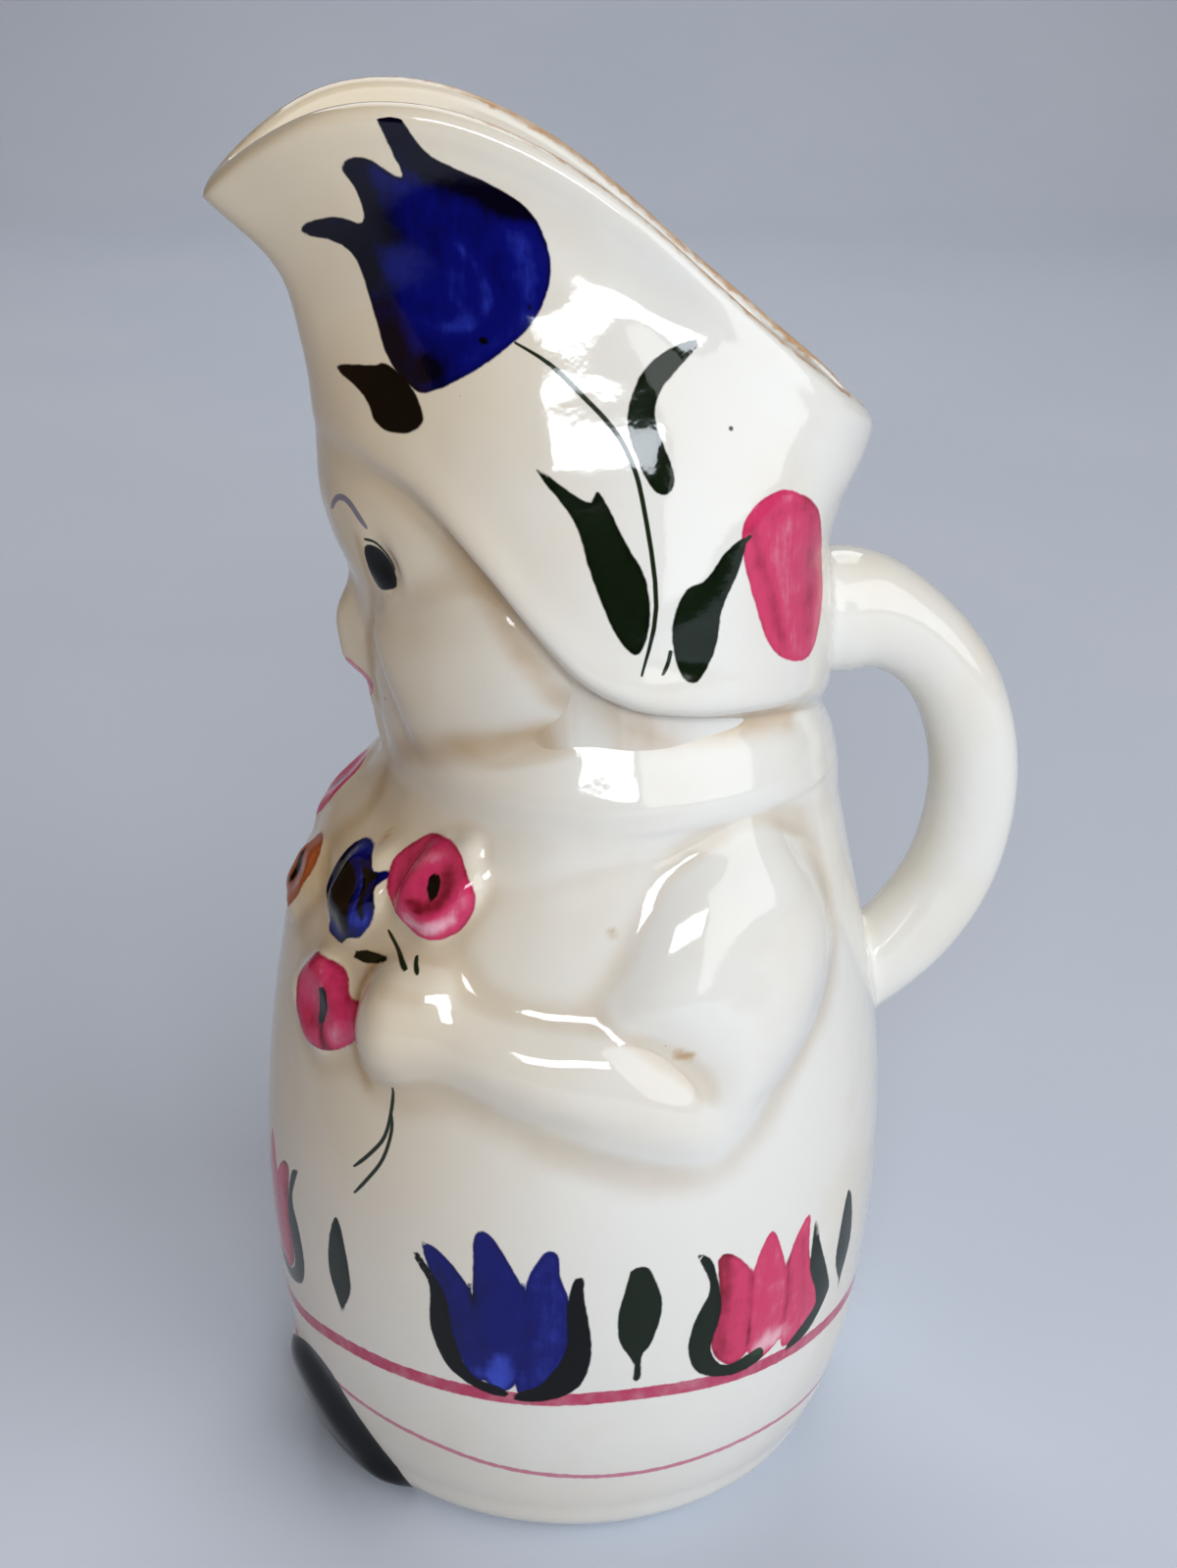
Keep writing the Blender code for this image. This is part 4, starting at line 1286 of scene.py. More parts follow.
FINE_LINES = (
    # The stem of the big tulip and the two of the bud.
    FineLine((
        (-15.5, 218.0), (-10.0, 215.0), (-5.0, 210.5), (-1.0, 206.5), (1.5, 202.5), (3.5, 196.0),
        (5.5, 180.0), (3.0, 168.5),
    ), 0.37, 0.0),
    FineLine(((8.0, 173.5), (7.5, 171.0), (6.5, 169.0)), 0.34, 0.0, "second_line"),
    FineLine(((19.0, 187.5), (21.5, 189.5)), 0.34, 0.0),
    # The bouquet's short stalks above the hand and its long ones below.
    FineLine(((41.0, 120.0), (45.0, 118.0), (50.5, 116.5)), 0.32, 48.0),
    FineLine(((50.0, 118.5), (51.0, 117.5), (52.5, 116.5)), 0.30, 48.0, "second_line"),
    FineLine(((49.0, 96.0), (48.0, 86.5), (45.0, 81.5), (40.5, 76.5)), 0.34, 52.0),
    FineLine(
        ((48.5, 91.0), (49.0, 87.0), (47.5, 81.0), (44.0, 75.5), (41.0, 71.5)), 0.32, 52.0, "second_line"
    ),
    # Eyelid and brow.
    FineLine(((24.5, 184.0), (27.5, 184.0), (29.5, 182.5), (32.5, 179.5)), 0.28, 46.0, both_sides=True),
    FineLine(((12.5, 186.5), (16.5, 189.5), (21.0, 189.5), (27.0, 186.0)), 0.52, 46.0, "brow", True),
)  # fmt: skip


@dataclass(frozen=True)
class ShadeAndStain:
    """A brown cloud along (angle, height) points, on both sides: mostly painted shade in creases and under
    overhangs, a few of them real spots.
    """

    path: Points
    reach: float
    strength: float


SHADES_AND_STAINS = (
    # Painted shade under the bonnet's edge and at the collar.
    ShadeAndStain(((50.0, 187.0), (61.0, 178.5), (70.0, 170.0), (79.0, 162.5), (89.0, 158.6), (105.0, 156.6),
           (120.0, 155.6), (140.0, 154.4)), 3.4, 0.62),
    ShadeAndStain(((12.0, 141.0), (26.0, 145.5), (42.0, 150.0), (58.0, 153.5), (74.0, 156.5)), 3.6, 0.7),
    # Painted shade beside the hand, over the chest and round the bouquet.
    ShadeAndStain(((40.6, 115.0), (38.8, 107.0), (39.6, 99.0), (43.0, 93.6)), 1.5, 0.85),
    ShadeAndStain(((14.0, 138.0), (17.0, 133.0), (14.0, 126.0), (16.0, 112.0)), 4.0, 0.6),
    ShadeAndStain(((22.0, 134.5), (34.0, 134.0)), 3.0, 0.35),
    ShadeAndStain(((48.0, 113.8), (54.0, 113.2)), 1.4, 0.4),
    # Painted shade round the eye and down the crease beside nose and mouth.
    ShadeAndStain(((22.8, 183.0), (22.6, 177.0), (18.0, 169.5), (11.5, 163.0), (9.5, 156.5), (8.0, 151.0)), 1.7, 0.6),
    ShadeAndStain(((33.6, 178.6), (31.0, 175.2), (26.0, 174.4)), 0.8, 0.5),
    # Small spots on sleeve, shawl and chest.
    ShadeAndStain(((100.2, 105.9), (102.2, 105.3)), 0.8, 1.2),
    ShadeAndStain(((89.0, 125.0), (89.6, 124.8)), 0.7, 0.9),
    ShadeAndStain(((30.3, 132.6), (30.9, 131.6)), 0.8, 0.9),
)  # fmt: skip


@dataclass
class Painting:
    """The underglaze painting of the whole pitcher, laid on as distances in millimetres."""

    reach: float = 3.0
    placings: tuple[Placing, ...] = (
        Placing(BLUE_TULIP, 68.5),
        Placing(PINK_TULIP, 119.5),
        Placing(LEAF, 94.2),
        Placing(SLIM_LEAF, 141.3),
        Placing(SLIM_LEAF, 37.2, mirrored=True),
        Placing(PINK_TULIP, 8.6, mirrored=True),
        Placing(BLUE_TULIP, 175.0),
        Placing(LEAF, -155.0),
        Placing(PINK_TULIP, -126.0),
        Placing(SLIM_LEAF, -99.0),
        Placing(BLUE_TULIP, -72.0, mirrored=True),
        Placing(LEAF, -42.0),
        Placing(BOUQUET_PAINT),
        Placing(FACE_PAINT),
        Placing(FACE_PAINT, mirrored=True),
        Placing(SHOE_PAINT),
        Placing(SHOE_PAINT, mirrored=True),
        Placing(BONNET_PAINT, side=1),
        Placing(BONNET_PAINT, side=-1),
    )
    wide_band: Points = (
        (0.0, 31.5), (15.0, 32.5), (36.0, 36.5), (55.0, 38.0), (75.0, 38.5), (94.0, 39.5),
        (116.0, 38.0), (147.0, 36.0), (180.0, 35.0),
    )  # fmt: skip
    thin_band: Points = (
        (0.0, 24.0), (56.0, 22.5), (71.0, 20.5), (86.0, 19.5), (124.0, 19.5), (142.0, 18.0),
        (180.0, 17.0),
    )  # fmt: skip

    def coordinates(self, placing: Placing, points: np.ndarray) -> tuple:
        """Where each point lies on the drawing of a motif.

        Args:
            placing: the motif and its place.
            points: positions in millimetres.

        Returns:
            Both coordinates, and whether the point can carry the motif at all.
        """
        x, y, z = points.T
        motif = placing.motif
        if placing.side:
            return y, z, (x * placing.side > 0.0) & (z > 160.0)
        angle = np.degrees(np.arctan2(x, -y))
        turned = wrapped(angle - placing.at) * (-1.0 if placing.mirrored else 1.0)
        return np.radians(turned) * motif.radius, z, np.abs(turned) < 80.0

    def drawn(self, motif: Motif, points: Points) -> np.ndarray:
        """A motif's points in millimetres on its drawing.

        Args:
            motif: the motif.
            points: the points as the motif gives them.

        Returns:
            The same points, both coordinates in millimetres.
        """
        flat = np.array(points, float)
        if motif.radius:
            flat[:, 0] = np.radians(flat[:, 0]) * motif.radius
        return flat

    def mark_depth(
        self, motif: Motif, mark: Patch | Stroke, across: np.ndarray, up: np.ndarray
    ) -> np.ndarray:
        """Depth inside one brush mark.

        Args:
            motif: the motif that the mark belongs to.
            mark: the patch or stroke.
            across: how far along the drawing each point lies, in millimetres.
            up: the height of each point.

        Returns:
            Millimetres inside the mark's edge, negative outside.
        """
        if isinstance(mark, Patch):
            return signed_depth(spline(self.drawn(motif, mark.outline), True, 5), across, up, self.reach)
        path = spline(self.drawn(motif, mark.path), False, 4)
        offset, share = line_offset(path, across, up, self.reach + max(mark.halves))
        halves = np.interp(share, np.linspace(0.0, 1.0, len(mark.halves)), mark.halves)
        return np.maximum(halves - np.abs(offset), -self.reach)

    def lay(self, points: np.ndarray) -> dict[str, np.ndarray]:
        """Work out every layer of paint, and the brown clouds of painted shade.

        Args:
            points: positions of the outer wall in millimetres.

        Returns:
            Name and values of each attribute.
        """
        count = len(points)
        layers = {pigment.value: np.full(count, -self.reach) for pigment in Pigment}
        load = np.full(count, 0.5)
        top = np.full(count, -self.reach)
        for placing in self.placings:
            motif = placing.motif
            across, up, there = self.coordinates(placing, points)
            across, up = across[there], up[there]
            index = np.flatnonzero(there)
            for mark in motif.marks:
                depth = self.mark_depth(motif, mark, across, up)
                layer = layers[mark.pigment.value]
                layer[index] = np.maximum(layer[index], depth)
                above = depth > top[index] - (0.8 if mark.pigment is Pigment.BLACK else 0.0)
                chosen = index[above]
                load[chosen] = mark.load
                top[chosen] = depth[above]
            for shade in motif.shades:
                path = spline(self.drawn(motif, shade.path), False, 4)
                offset, _ = line_offset(path, across, up, 3.2 * shade.reach)
                load[index] += shade.change * bell(offset, shade.reach)
        layers["load"] = np.clip(load, 0.0, 1.0)
        self.lay_bands(points, layers)
        self.lay_lines(points, layers)
        self.lay_shades_and_stains(points, layers)
        return layers

    def lay_shades_and_stains(self, points: np.ndarray, layers: dict[str, np.ndarray]) -> None:
        """Add how strongly each point is clouded with brown: painted shade in creases and under overhangs,
        and a few real spots.

        Args:
            points: positions of the outer wall in millimetres.
            layers: the attributes so far, to which this one is added.
        """
        x, y, z = points.T
        radius = 46.0
        across = np.abs(np.arctan2(x, -y)) * radius
        # How brown each point is: painted shade, and a few real spots.
        stained = np.zeros(len(points))
        for brown_tint in SHADES_AND_STAINS:
            flat = np.array(brown_tint.path, float)
            flat[:, 0] = np.radians(flat[:, 0]) * radius
            offset, _ = line_offset(spline(flat, False, 4), across, z, 3.0 * brown_tint.reach)
            stained = np.maximum(stained, brown_tint.strength * bell(offset, brown_tint.reach))
        layers["brown_tint"] = stained

    def lay_bands(self, points: np.ndarray, layers: dict[str, np.ndarray]) -> None:
        """Add the height above the middle of each painted band.

        Args:
            points: positions of the outer wall in millimetres.
            layers: the attributes so far, to which these are added.
        """
        x, y, z = points.T
        angle = np.degrees(np.arctan2(x, -y))
        wave = 0.35 * np.sin(np.radians(angle * 3.0 + 40.0)) * (angle < 0.0)
        layers["wide_band"] = np.clip(z - edge_height(self.wide_band, angle) - wave, -9.0, 9.0)
        layers["thin_band"] = np.clip(z - edge_height(self.thin_band, angle) + wave, -9.0, 9.0)

    def lay_lines(self, points: np.ndarray, layers: dict[str, np.ndarray]) -> None:
        """Add the offset from the nearest thin line of each layer and that line's half width.

        Args:
            points: positions of the outer wall in millimetres.
            layers: the attributes so far, to which these are added.
        """
        x, y, z = points.T
        angle = np.arctan2(x, -y)
        reach = 2.4
        for line in FINE_LINES:
            side = layers.setdefault(line.layer + "_side", np.full(len(points), reach))
            half = layers.setdefault(line.layer + "_half", np.full(len(points), -1.0))
            flat = np.array(line.path, float)
            if line.radius:
                flat[:, 0] = np.radians(flat[:, 0]) * line.radius
            turned = np.abs(angle) if line.both_sides else angle
            across = turned * line.radius if line.radius else y
            offset, share = line_offset(spline(flat, False, 4), across, z, reach)
            closer = np.abs(offset) < np.abs(side)
            if not line.radius:
                closer &= z > 160.0
            taper = np.minimum(1.0, 0.45 + 4.0 * np.minimum(share, 1.0 - share))
            width = np.where((share > 0.0) & (share < 1.0), line.half * taper, -1.0)
            side[closer] = offset[closer]
            half[closer] = width[closer]


def srgb(code: str) -> tuple[float, float, float, float]:
    """A hex colour as linear red, green, blue and 1.

    Args:
        code: the sRGB colour, with a leading number sign.

    Returns:
        The four parts.
    """
    parts = [int(code[i : i + 2], 16) / 255.0 for i in (1, 3, 5)]
    linear = [p / 12.92 if p <= 0.04045 else ((p + 0.055) / 1.055) ** 2.4 for p in parts]
    return (*linear, 1.0)


def add_node(tree: bpy.types.NodeTree, kind: str, links: dict | None = None, **settings) -> bpy.types.Node:
    """Add a node.

    Args:
        tree: the node tree.
        kind: the node's type.
        links: what feeds each input: a socket, or a plain value.
        settings: properties of the node.

    Returns:
        The new node.
    """
    node = tree.nodes.new(kind)
    for name, value in settings.items():
        setattr(node, name, value)
    for name, value in (links or {}).items():
        if isinstance(value, bpy.types.NodeSocket):
            tree.links.new(value, node.inputs[name])
        else:
            node.inputs[name].default_value = value
    return node


@dataclass(frozen=True)
class PigmentFinish:
    """One underglaze colour, from a thin wash to full strength, and how soft its edge is."""

    pigment: Pigment
    thin: str
    middle: str
    full: str
    edge: float = 0.14


@dataclass(frozen=True)
class EarthenwareFinish:
    """Cream earthenware under a clear gloss glaze.

    To the eye: a warm white body, hard mirror-like highlights with faintly wavy edges, a browner
    tone painted into the creases and hollows as shade, and bare, rust-stained clay along the lip.
    """

    body: str = "#E6E4DE"
    # Warm tone of the random clouds, and of the painted shade over the front.
    warm: str = "#DAC39C"
    # Brown of the painted shade in the hollows of the relief; also mixed into the lip's rust.
    hollow_shade_and_stain: str = "#B79B72"
    # Brown of the clouds of painted shade in creases and under the bonnet, and of a few real spots.
    cloud: str = "#B9986A"
    brown_tint: str = "#CC9568"
    speck: str = "#4A4038"
    foot: str = "#CDBB9E"
    band: str = "#BC4A6B"
    thin_band: str = "#C98597"
    lines: tuple[tuple[str, str], ...] = (
        ("line", "#26301F"), ("second_line", "#26301F"), ("brow", "#8B8592"),
    )  # fmt: skip
    dots: tuple[tuple[float, float, float], ...] = (
        (33.6, 17.8, 205.5), (8.6, 65.4, 138.2), (42.6, -4.7, 145.8), (44.6, -17.4, 122.1),
    )  # fmt: skip
    roughness: float = 0.07
    ior: float = 1.52
    pigments: tuple[PigmentFinish, ...] = (
        PigmentFinish(Pigment.COBALT, "#4053C2", "#0C1370", "#03021C"),
        PigmentFinish(Pigment.CARMINE, "#E9B4C0", "#D0426C", "#7C0B24"),
        PigmentFinish(Pigment.ORANGE, "#DDA27A", "#B4643A", "#6E2E14"),
        PigmentFinish(Pigment.GREEN, "#33472C", "#182616", "#0A120A"),
        PigmentFinish(Pigment.BLACK, "#10101C", "#06070B", "#020203"),
    )

    def material(self) -> bpy.types.Material:
        """Build the material's nodes.

        Returns:
            The finished material.
        """
        material = bpy.data.materials.new("glazed_earthenware_underglaze_painted")
        material.use_nodes = True
        tree = material.node_tree
        shader = tree.nodes["Principled BSDF"]
        place = add_node(tree, "ShaderNodeTexCoord").outputs["Object"]
        colour = self.clay(tree, place)
        colour = self.painted(tree, place, colour)
        colour = self.flaws(tree, place, colour)
        tree.links.new(colour, shader.inputs["Base Color"])
        tree.links.new(self.gloss(tree, place), shader.inputs["Roughness"])
        tree.links.new(self.waviness(tree, place), shader.inputs["Normal"])
        shader.inputs["IOR"].default_value = self.ior
        shader.inputs["Metallic"].default_value = 0.0
        return material

    def value(self, tree: bpy.types.NodeTree, name: str) -> bpy.types.NodeSocket:
        """The values of one of the mesh's attributes."""
        return add_node(tree, "ShaderNodeAttribute", attribute_name=name).outputs["Fac"]

    def maths(self, tree: bpy.types.NodeTree, what: str, *values) -> bpy.types.NodeSocket:
        """The result of a Math node on two or three sockets or numbers."""
        return add_node(tree, "ShaderNodeMath", dict(enumerate(values)), operation=what).outputs[0]

    def ramp(self, tree: bpy.types.NodeTree, value, low: float, high: float) -> bpy.types.NodeSocket:
        """A smooth rise from 0 at low to 1 at high."""
        links = {"Value": value, "From Min": low, "From Max": high}
        return add_node(tree, "ShaderNodeMapRange", links, interpolation_type="SMOOTHSTEP").outputs[0]

    def mix(self, tree: bpy.types.NodeTree, amount, under, over) -> bpy.types.NodeSocket:
        """A colour laid over another, by amount."""
        links = {0: amount, 6: under, 7: over}
        return add_node(tree, "ShaderNodeMix", links, data_type="RGBA").outputs[2]

    def noise(
        self, tree: bpy.types.NodeTree, place, millimetres: float, detail: float = 3.0
    ) -> bpy.types.NodeSocket:
        """Noise with patches of a size in millimetres."""
        links = {"Vector": place, "Scale": 1.0 / (millimetres * MM), "Detail": detail}
        return add_node(tree, "ShaderNodeTexNoise", links).outputs[0]

    def clay(self, tree: bpy.types.NodeTree, place: bpy.types.NodeSocket) -> bpy.types.NodeSocket:
        """Cream body, warmer in broad clouds, with painted shade: warm over the front, browner in the
        relief's hollows and in clouds along creases and under the bonnet.

        Args:
            tree: the material's node tree.
            place: the socket with the position on the surface.

        Returns:
            The colour of the bare glazed body.
        """
        cloud = self.ramp(tree, self.noise(tree, place, 38.0), 0.42, 0.72)
        colour = self.mix(tree, self.maths(tree, "MULTIPLY", cloud, 0.22), srgb(self.body), srgb(self.warm))
        # Painted warm shade over the front of the figure.
        tone = self.value(tree, "tone")
        colour = self.mix(tree, self.maths(tree, "MULTIPLY", tone, 0.75), colour, srgb(self.warm))
        # Painted shade: browner in the hollows of the relief.
        hollow_shade_and_stain = self.maths(tree, "MULTIPLY_ADD", self.noise(tree, place, 5.0), 0.5, -0.25)
        hollow_shade_and_stain = self.maths(tree, "ADD", self.value(tree, "hollow_shade"), self.maths(tree, "MULTIPLY", hollow_shade_and_stain, 0.5))
        hollow_shade_and_stain = self.maths(tree, "MULTIPLY", self.ramp(tree, hollow_shade_and_stain, 0.15, 1.2), 0.34)
        colour = self.mix(tree, hollow_shade_and_stain, colour, srgb(self.hollow_shade_and_stain))
        # Brown clouds of painted shade in creases and under the bonnet's edge, and a few real spots.
        cloud = self.maths(tree, "MULTIPLY_ADD", self.noise(tree, place, 7.0), 0.8, 0.6)
        cloud = self.maths(tree, "MULTIPLY", self.value(tree, "brown_tint"), cloud)
        cloud = self.maths(tree, "MULTIPLY", self.ramp(tree, cloud, 0.0, 1.1), 0.8)
        return self.mix(tree, cloud, colour, srgb(self.cloud))

    def painted(
        self, tree: bpy.types.NodeTree, place: bpy.types.NodeSocket, colour: bpy.types.NodeSocket
    ) -> bpy.types.NodeSocket:
        """The bands, the brush marks and the thin lines, one over the other.

        Args:
            tree: the material's node tree.
            place: the socket with the position on the surface.
            colour: the colour so far.

        Returns:
            The colour with them laid over it.
        """
        ragged = self.maths(tree, "MULTIPLY_ADD", self.noise(tree, place, 1.6, 2.0), 1.0, -0.5)
        stretch = add_node(tree, "ShaderNodeMapping", {"Vector": place, "Scale": (1.0, 1.0, 0.16)})
        streak = self.noise(tree, stretch.outputs[0], 1.1, 3.0)
        blotch = self.noise(tree, place, 3.4, 3.0)
        uneven = self.maths(tree, "MULTIPLY_ADD", streak, 0.22, -0.11)
        uneven = self.maths(tree, "ADD", uneven, self.maths(tree, "MULTIPLY_ADD", blotch, 0.38, -0.19))
        load = self.maths(tree, "ADD", self.value(tree, "load"), uneven)
        for name, half, code, strength in (
            ("wide_band", 1.45, self.band, 0.95),
            ("thin_band", 0.58, self.thin_band, 1.0),
        ):
            offset = self.maths(tree, "ABSOLUTE", self.value(tree, name))
            wobble = self.maths(tree, "MULTIPLY_ADD", ragged, 0.5, half)
            inside = self.ramp(tree, self.maths(tree, "SUBTRACT", wobble, offset), -0.12, 0.22)
            fade = self.maths(tree, "MULTIPLY_ADD", blotch, 0.5, strength - 0.25)
            colour = self.mix(tree, self.maths(tree, "MULTIPLY", inside, fade), colour, srgb(code))
        for finish in self.pigments:
            depth = self.maths(tree, "MULTIPLY_ADD", ragged, 0.35, self.value(tree, finish.pigment.value))
            inside = self.ramp(tree, depth, -finish.edge, finish.edge + 0.1)
            rim = self.maths(tree, "MULTIPLY", self.ramp(tree, depth, 1.1, 0.1), 0.16)
            full = self.maths(tree, "ADD", load, rim)
            tone = self.mix(tree, self.ramp(tree, full, 0.0, 0.5), srgb(finish.thin), srgb(finish.middle))
            tone = self.mix(tree, self.ramp(tree, full, 0.5, 1.0), tone, srgb(finish.full))
            colour = self.mix(tree, inside, colour, tone)
        for layer, code in self.lines:
            offset = self.maths(tree, "ABSOLUTE", self.value(tree, layer + "_side"))
            inside = self.maths(tree, "SUBTRACT", self.value(tree, layer + "_half"), offset)
            colour = self.mix(tree, self.ramp(tree, inside, -0.14, 0.12), colour, srgb(code))
        return colour

    def flaws(
        self, tree: bpy.types.NodeTree, place: bpy.types.NodeSocket, colour: bpy.types.NodeSocket
    ) -> bpy.types.NodeSocket:
        """Iron specks in the glaze, the stained lip and the bare foot.

        Args:
            tree: the material's node tree.
            place: the socket with the position on the surface.
            colour: the colour so far.

        Returns:
            The colour with them laid over it.
        """
        cells = add_node(tree, "ShaderNodeTexVoronoi", {"Vector": place, "Scale": 1.0 / (11.0 * MM)})
        size = add_node(tree, "ShaderNodeSeparateColor", {0: cells.outputs["Color"]})
        rare = self.maths(tree, "POWER", size.outputs[0], 6.0)
        radius = self.maths(tree, "MULTIPLY_ADD", rare, 0.034, 0.006)
        speck = self.maths(tree, "SUBTRACT", radius, cells.outputs["Distance"])
        speck = self.maths(tree, "MULTIPLY", self.ramp(tree, speck, -0.006, 0.004), size.outputs[1])
        colour = self.mix(tree, self.maths(tree, "MULTIPLY", speck, 0.8), colour, srgb(self.speck))
        for x, y, z in self.dots:
            links = {0: place, 1: (x * MM, y * MM, z * MM)}
            away = add_node(tree, "ShaderNodeVectorMath", links, operation="DISTANCE").outputs["Value"]
            near = self.ramp(tree, self.maths(tree, "DIVIDE", away, MM), 0.62, 0.38)
            colour = self.mix(tree, near, colour, srgb(self.speck))
        ragged = self.maths(tree, "MULTIPLY_ADD", self.noise(tree, place, 2.2, 5.0), 2.8, -1.5)
        worn = self.maths(tree, "ADD", self.value(tree, "lip_wear"), ragged)
        shade = self.mix(tree, self.noise(tree, place, 1.5, 4.0), srgb(self.brown_tint), srgb(self.hollow_shade_and_stain))
        patchy = self.ramp(tree, self.noise(tree, place, 4.5, 4.0), 0.30, 0.62)
        patchy = self.maths(tree, "MULTIPLY_ADD", patchy, 0.6, 0.32)
        patch = self.maths(tree, "MULTIPLY", self.ramp(tree, worn, -0.5, 0.5), patchy)
        colour = self.mix(tree, patch, colour, shade)
        return self.mix(tree, self.value(tree, "bare_foot"), colour, srgb(self.foot))

    def gloss(self, tree: bpy.types.NodeTree, place: bpy.types.NodeSocket) -> bpy.types.NodeSocket:
        """Roughness: a hard gloss that is duller on the worn lip and on the bare foot.

        Args:
            tree: the material's node tree.
            place: the socket with the position on the surface.

        Returns:
            The roughness.
        """
        worn = self.ramp(tree, self.value(tree, "lip_wear"), -0.2, 0.6)
        dull_lip = self.maths(tree, "MULTIPLY", worn, 0.3)
        dull_foot = self.maths(tree, "MULTIPLY", self.value(tree, "bare_foot"), 0.6)
        dull = self.maths(tree, "MAXIMUM", dull_lip, dull_foot)
        fine = self.maths(tree, "MULTIPLY_ADD", self.noise(tree, place, 9.0), 0.04, self.roughness - 0.02)
        return self.maths(tree, "ADD", fine, dull)

    def waviness(self, tree: bpy.types.NodeTree, place: bpy.types.NodeSocket) -> bpy.types.NodeSocket:
        """The slow waves of a thick glaze, and a trace of orange peel.

        Args:
            tree: the material's node tree.
            place: the socket with the position on the surface.

        Returns:
            The bumped normal.
        """
        slow = self.noise(tree, place, 13.0, 1.0)
        peel = self.noise(tree, place, 2.6, 2.0)
        height = self.maths(tree, "ADD", slow, self.maths(tree, "MULTIPLY", peel, 0.10))
        links = {"Height": height, "Strength": 0.5, "Distance": 0.6 * MM}
        return add_node(tree, "ShaderNodeBump", links).outputs[0]


@dataclass
class GlazedPitcher:
    """The whole pitcher: vessel and handle grown together, painted and glazed as one piece."""

    vessel: Vessel = field(default_factory=Vessel)
    handle: Handle = field(default_factory=Handle)
    painting: Painting = field(default_factory=Painting)
    finish: EarthenwareFinish = field(default_factory=EarthenwareFinish)
    block_rows: int = 24
    block_top: float = 190.0
    weld_reach: float = 5.0

    def mid_wall(self) -> bpy.types.Object:
        """A closed block whose skin runs through the middle of the wall: the handle ends on it.

        Returns:
            The block's mesh.
        """
        plain = self.vessel.carving.plain
        angle = np.linspace(-180.0, 180.0, 73)[:-1]
        levels = np.linspace(plain.floor, self.block_top, self.block_rows)[:, None]
        rings = plain.points(levels, angle[None, :], plain.wall / 2.0)
        ends = [np.broadcast_to(rings[k].mean(axis=0), rings[k].shape) for k in (0, -1)]
        return sheet_of("mid_wall", np.concatenate([ends[:1], rings, ends[1:]]) * MM, True)

    def boolean(self, obj: bpy.types.Object, operation: str, other: bpy.types.Object) -> None:
        """Cut or join with another mesh, which is then removed.

        Args:
            obj: the mesh to change.
            operation: the modifier's name for the operation.
            other: the mesh to cut or join with.
        """
        modifier = obj.modifiers.new(operation.title(), "BOOLEAN")
        modifier.operation = operation
        modifier.solver = "EXACT"
        modifier.object = other
        apply_modifier(obj, modifier.name)
        bpy.data.objects.remove(other, do_unlink=True)

    def build(self) -> bpy.types.Object:
        """Make the finished piece, painted and placed.

        Returns:
            The finished piece.
        """
        piece, outer, relief = self.vessel.build()
        rod = self.handle.build()
        self.boolean(rod, "DIFFERENCE", self.mid_wall())
        skin = positions(rod)
        self.boolean(piece, "UNION", rod)
        self.soften_joint(piece, outer, skin)
        self.paint(piece, outer, relief)
        piece.name = piece.data.name = "glazed_pitcher"
        piece.data.materials.clear()
        piece.data.materials.append(self.finish.material())
        select_only(piece)
        bpy.ops.object.shade_smooth()
        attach(piece, "root")
        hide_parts("pitcher")
        return piece

    def soften_joint(self, piece: bpy.types.Object, outer: np.ndarray, skin: np.ndarray) -> None:
        """Round off the line where the handle meets the body, as the glaze does.

        Args:
            piece: the joined mesh.
            outer: points of the vessel's outer wall.
            skin: points of the handle.
        """
        points = positions(piece)
        behind = np.flatnonzero(points[:, 1] > 30.0)
        body = self.distances(outer[outer[:, 1] > 25.0], points[behind])
        rod = self.distances(skin, points[behind])
        weight = (1.0 - smooth_step(body, 0.5, 1.0) * smooth_step(body, 1.0, self.weld_reach))
        weight *= 1.0 - smooth_step(rod, 1.0, self.weld_reach)
        group = piece.vertex_groups.new(name="joint")
        for index, share in zip(behind, weight):
            if share > 0.02:
                group.add([int(index)], float(share), "REPLACE")
        smooth = piece.modifiers.new("Soften", "SMOOTH")
        smooth.factor = 0.5
        smooth.iterations = 14
        smooth.vertex_group = group.name
        apply_modifier(piece, smooth.name)
        piece.vertex_groups.clear()

    def distances(self, cloud: np.ndarray, points: np.ndarray) -> np.ndarray:
        """Distance from each point to the nearest one of a cloud."""
        return self.nearest(cloud, points)[0]

    def nearest(self, cloud: np.ndarray, points: np.ndarray) -> tuple[np.ndarray, np.ndarray]:
        """Distance to, and index of, the nearest point of a cloud.

        Args:
            cloud: the points to look among.
            points: the places to look from.

        Returns:
            The distances, and the indices into the cloud.
        """
        tree = KDTree(len(cloud))
        for i, place in enumerate(cloud):
            tree.insert(place, i)
        tree.balance()
        found = [tree.find(place) for place in points]
        return np.array([f[2] for f in found]), np.array([f[1] for f in found])

    def paint(self, piece: bpy.types.Object, outer: np.ndarray, relief: np.ndarray) -> None:
        """Lay the painting, the painted shade, the worn lip and the bare foot on the finished mesh.

        Args:
            piece: the joined mesh.
            outer: points of the vessel's outer wall, row by row.
            relief: how far each of them stands out.
        """
        points = positions(piece)
        layers = self.painting.lay(points)
        away, index = self.nearest(outer, points)
        on_wall = away < 0.6
        for name, values in layers.items():
            if name not in ("load", "brown_tint"):
                values[~on_wall] = 9.0 if name.endswith(("_band", "_side")) else -self.painting.reach
        # Painted shade: browner where the relief is hollow.
        rows = self.vessel.outer_rows
        grid = relief.reshape(rows, -1)
        broad = self.vessel.carving.softened(grid, 22)
        hollow = np.clip((broad - grid) / 0.45, 0.0, 1.0).reshape(-1)
        layers["hollow_shade"] = np.where(away < 2.0, hollow[index], 0.0)
        x, y, z = points.T
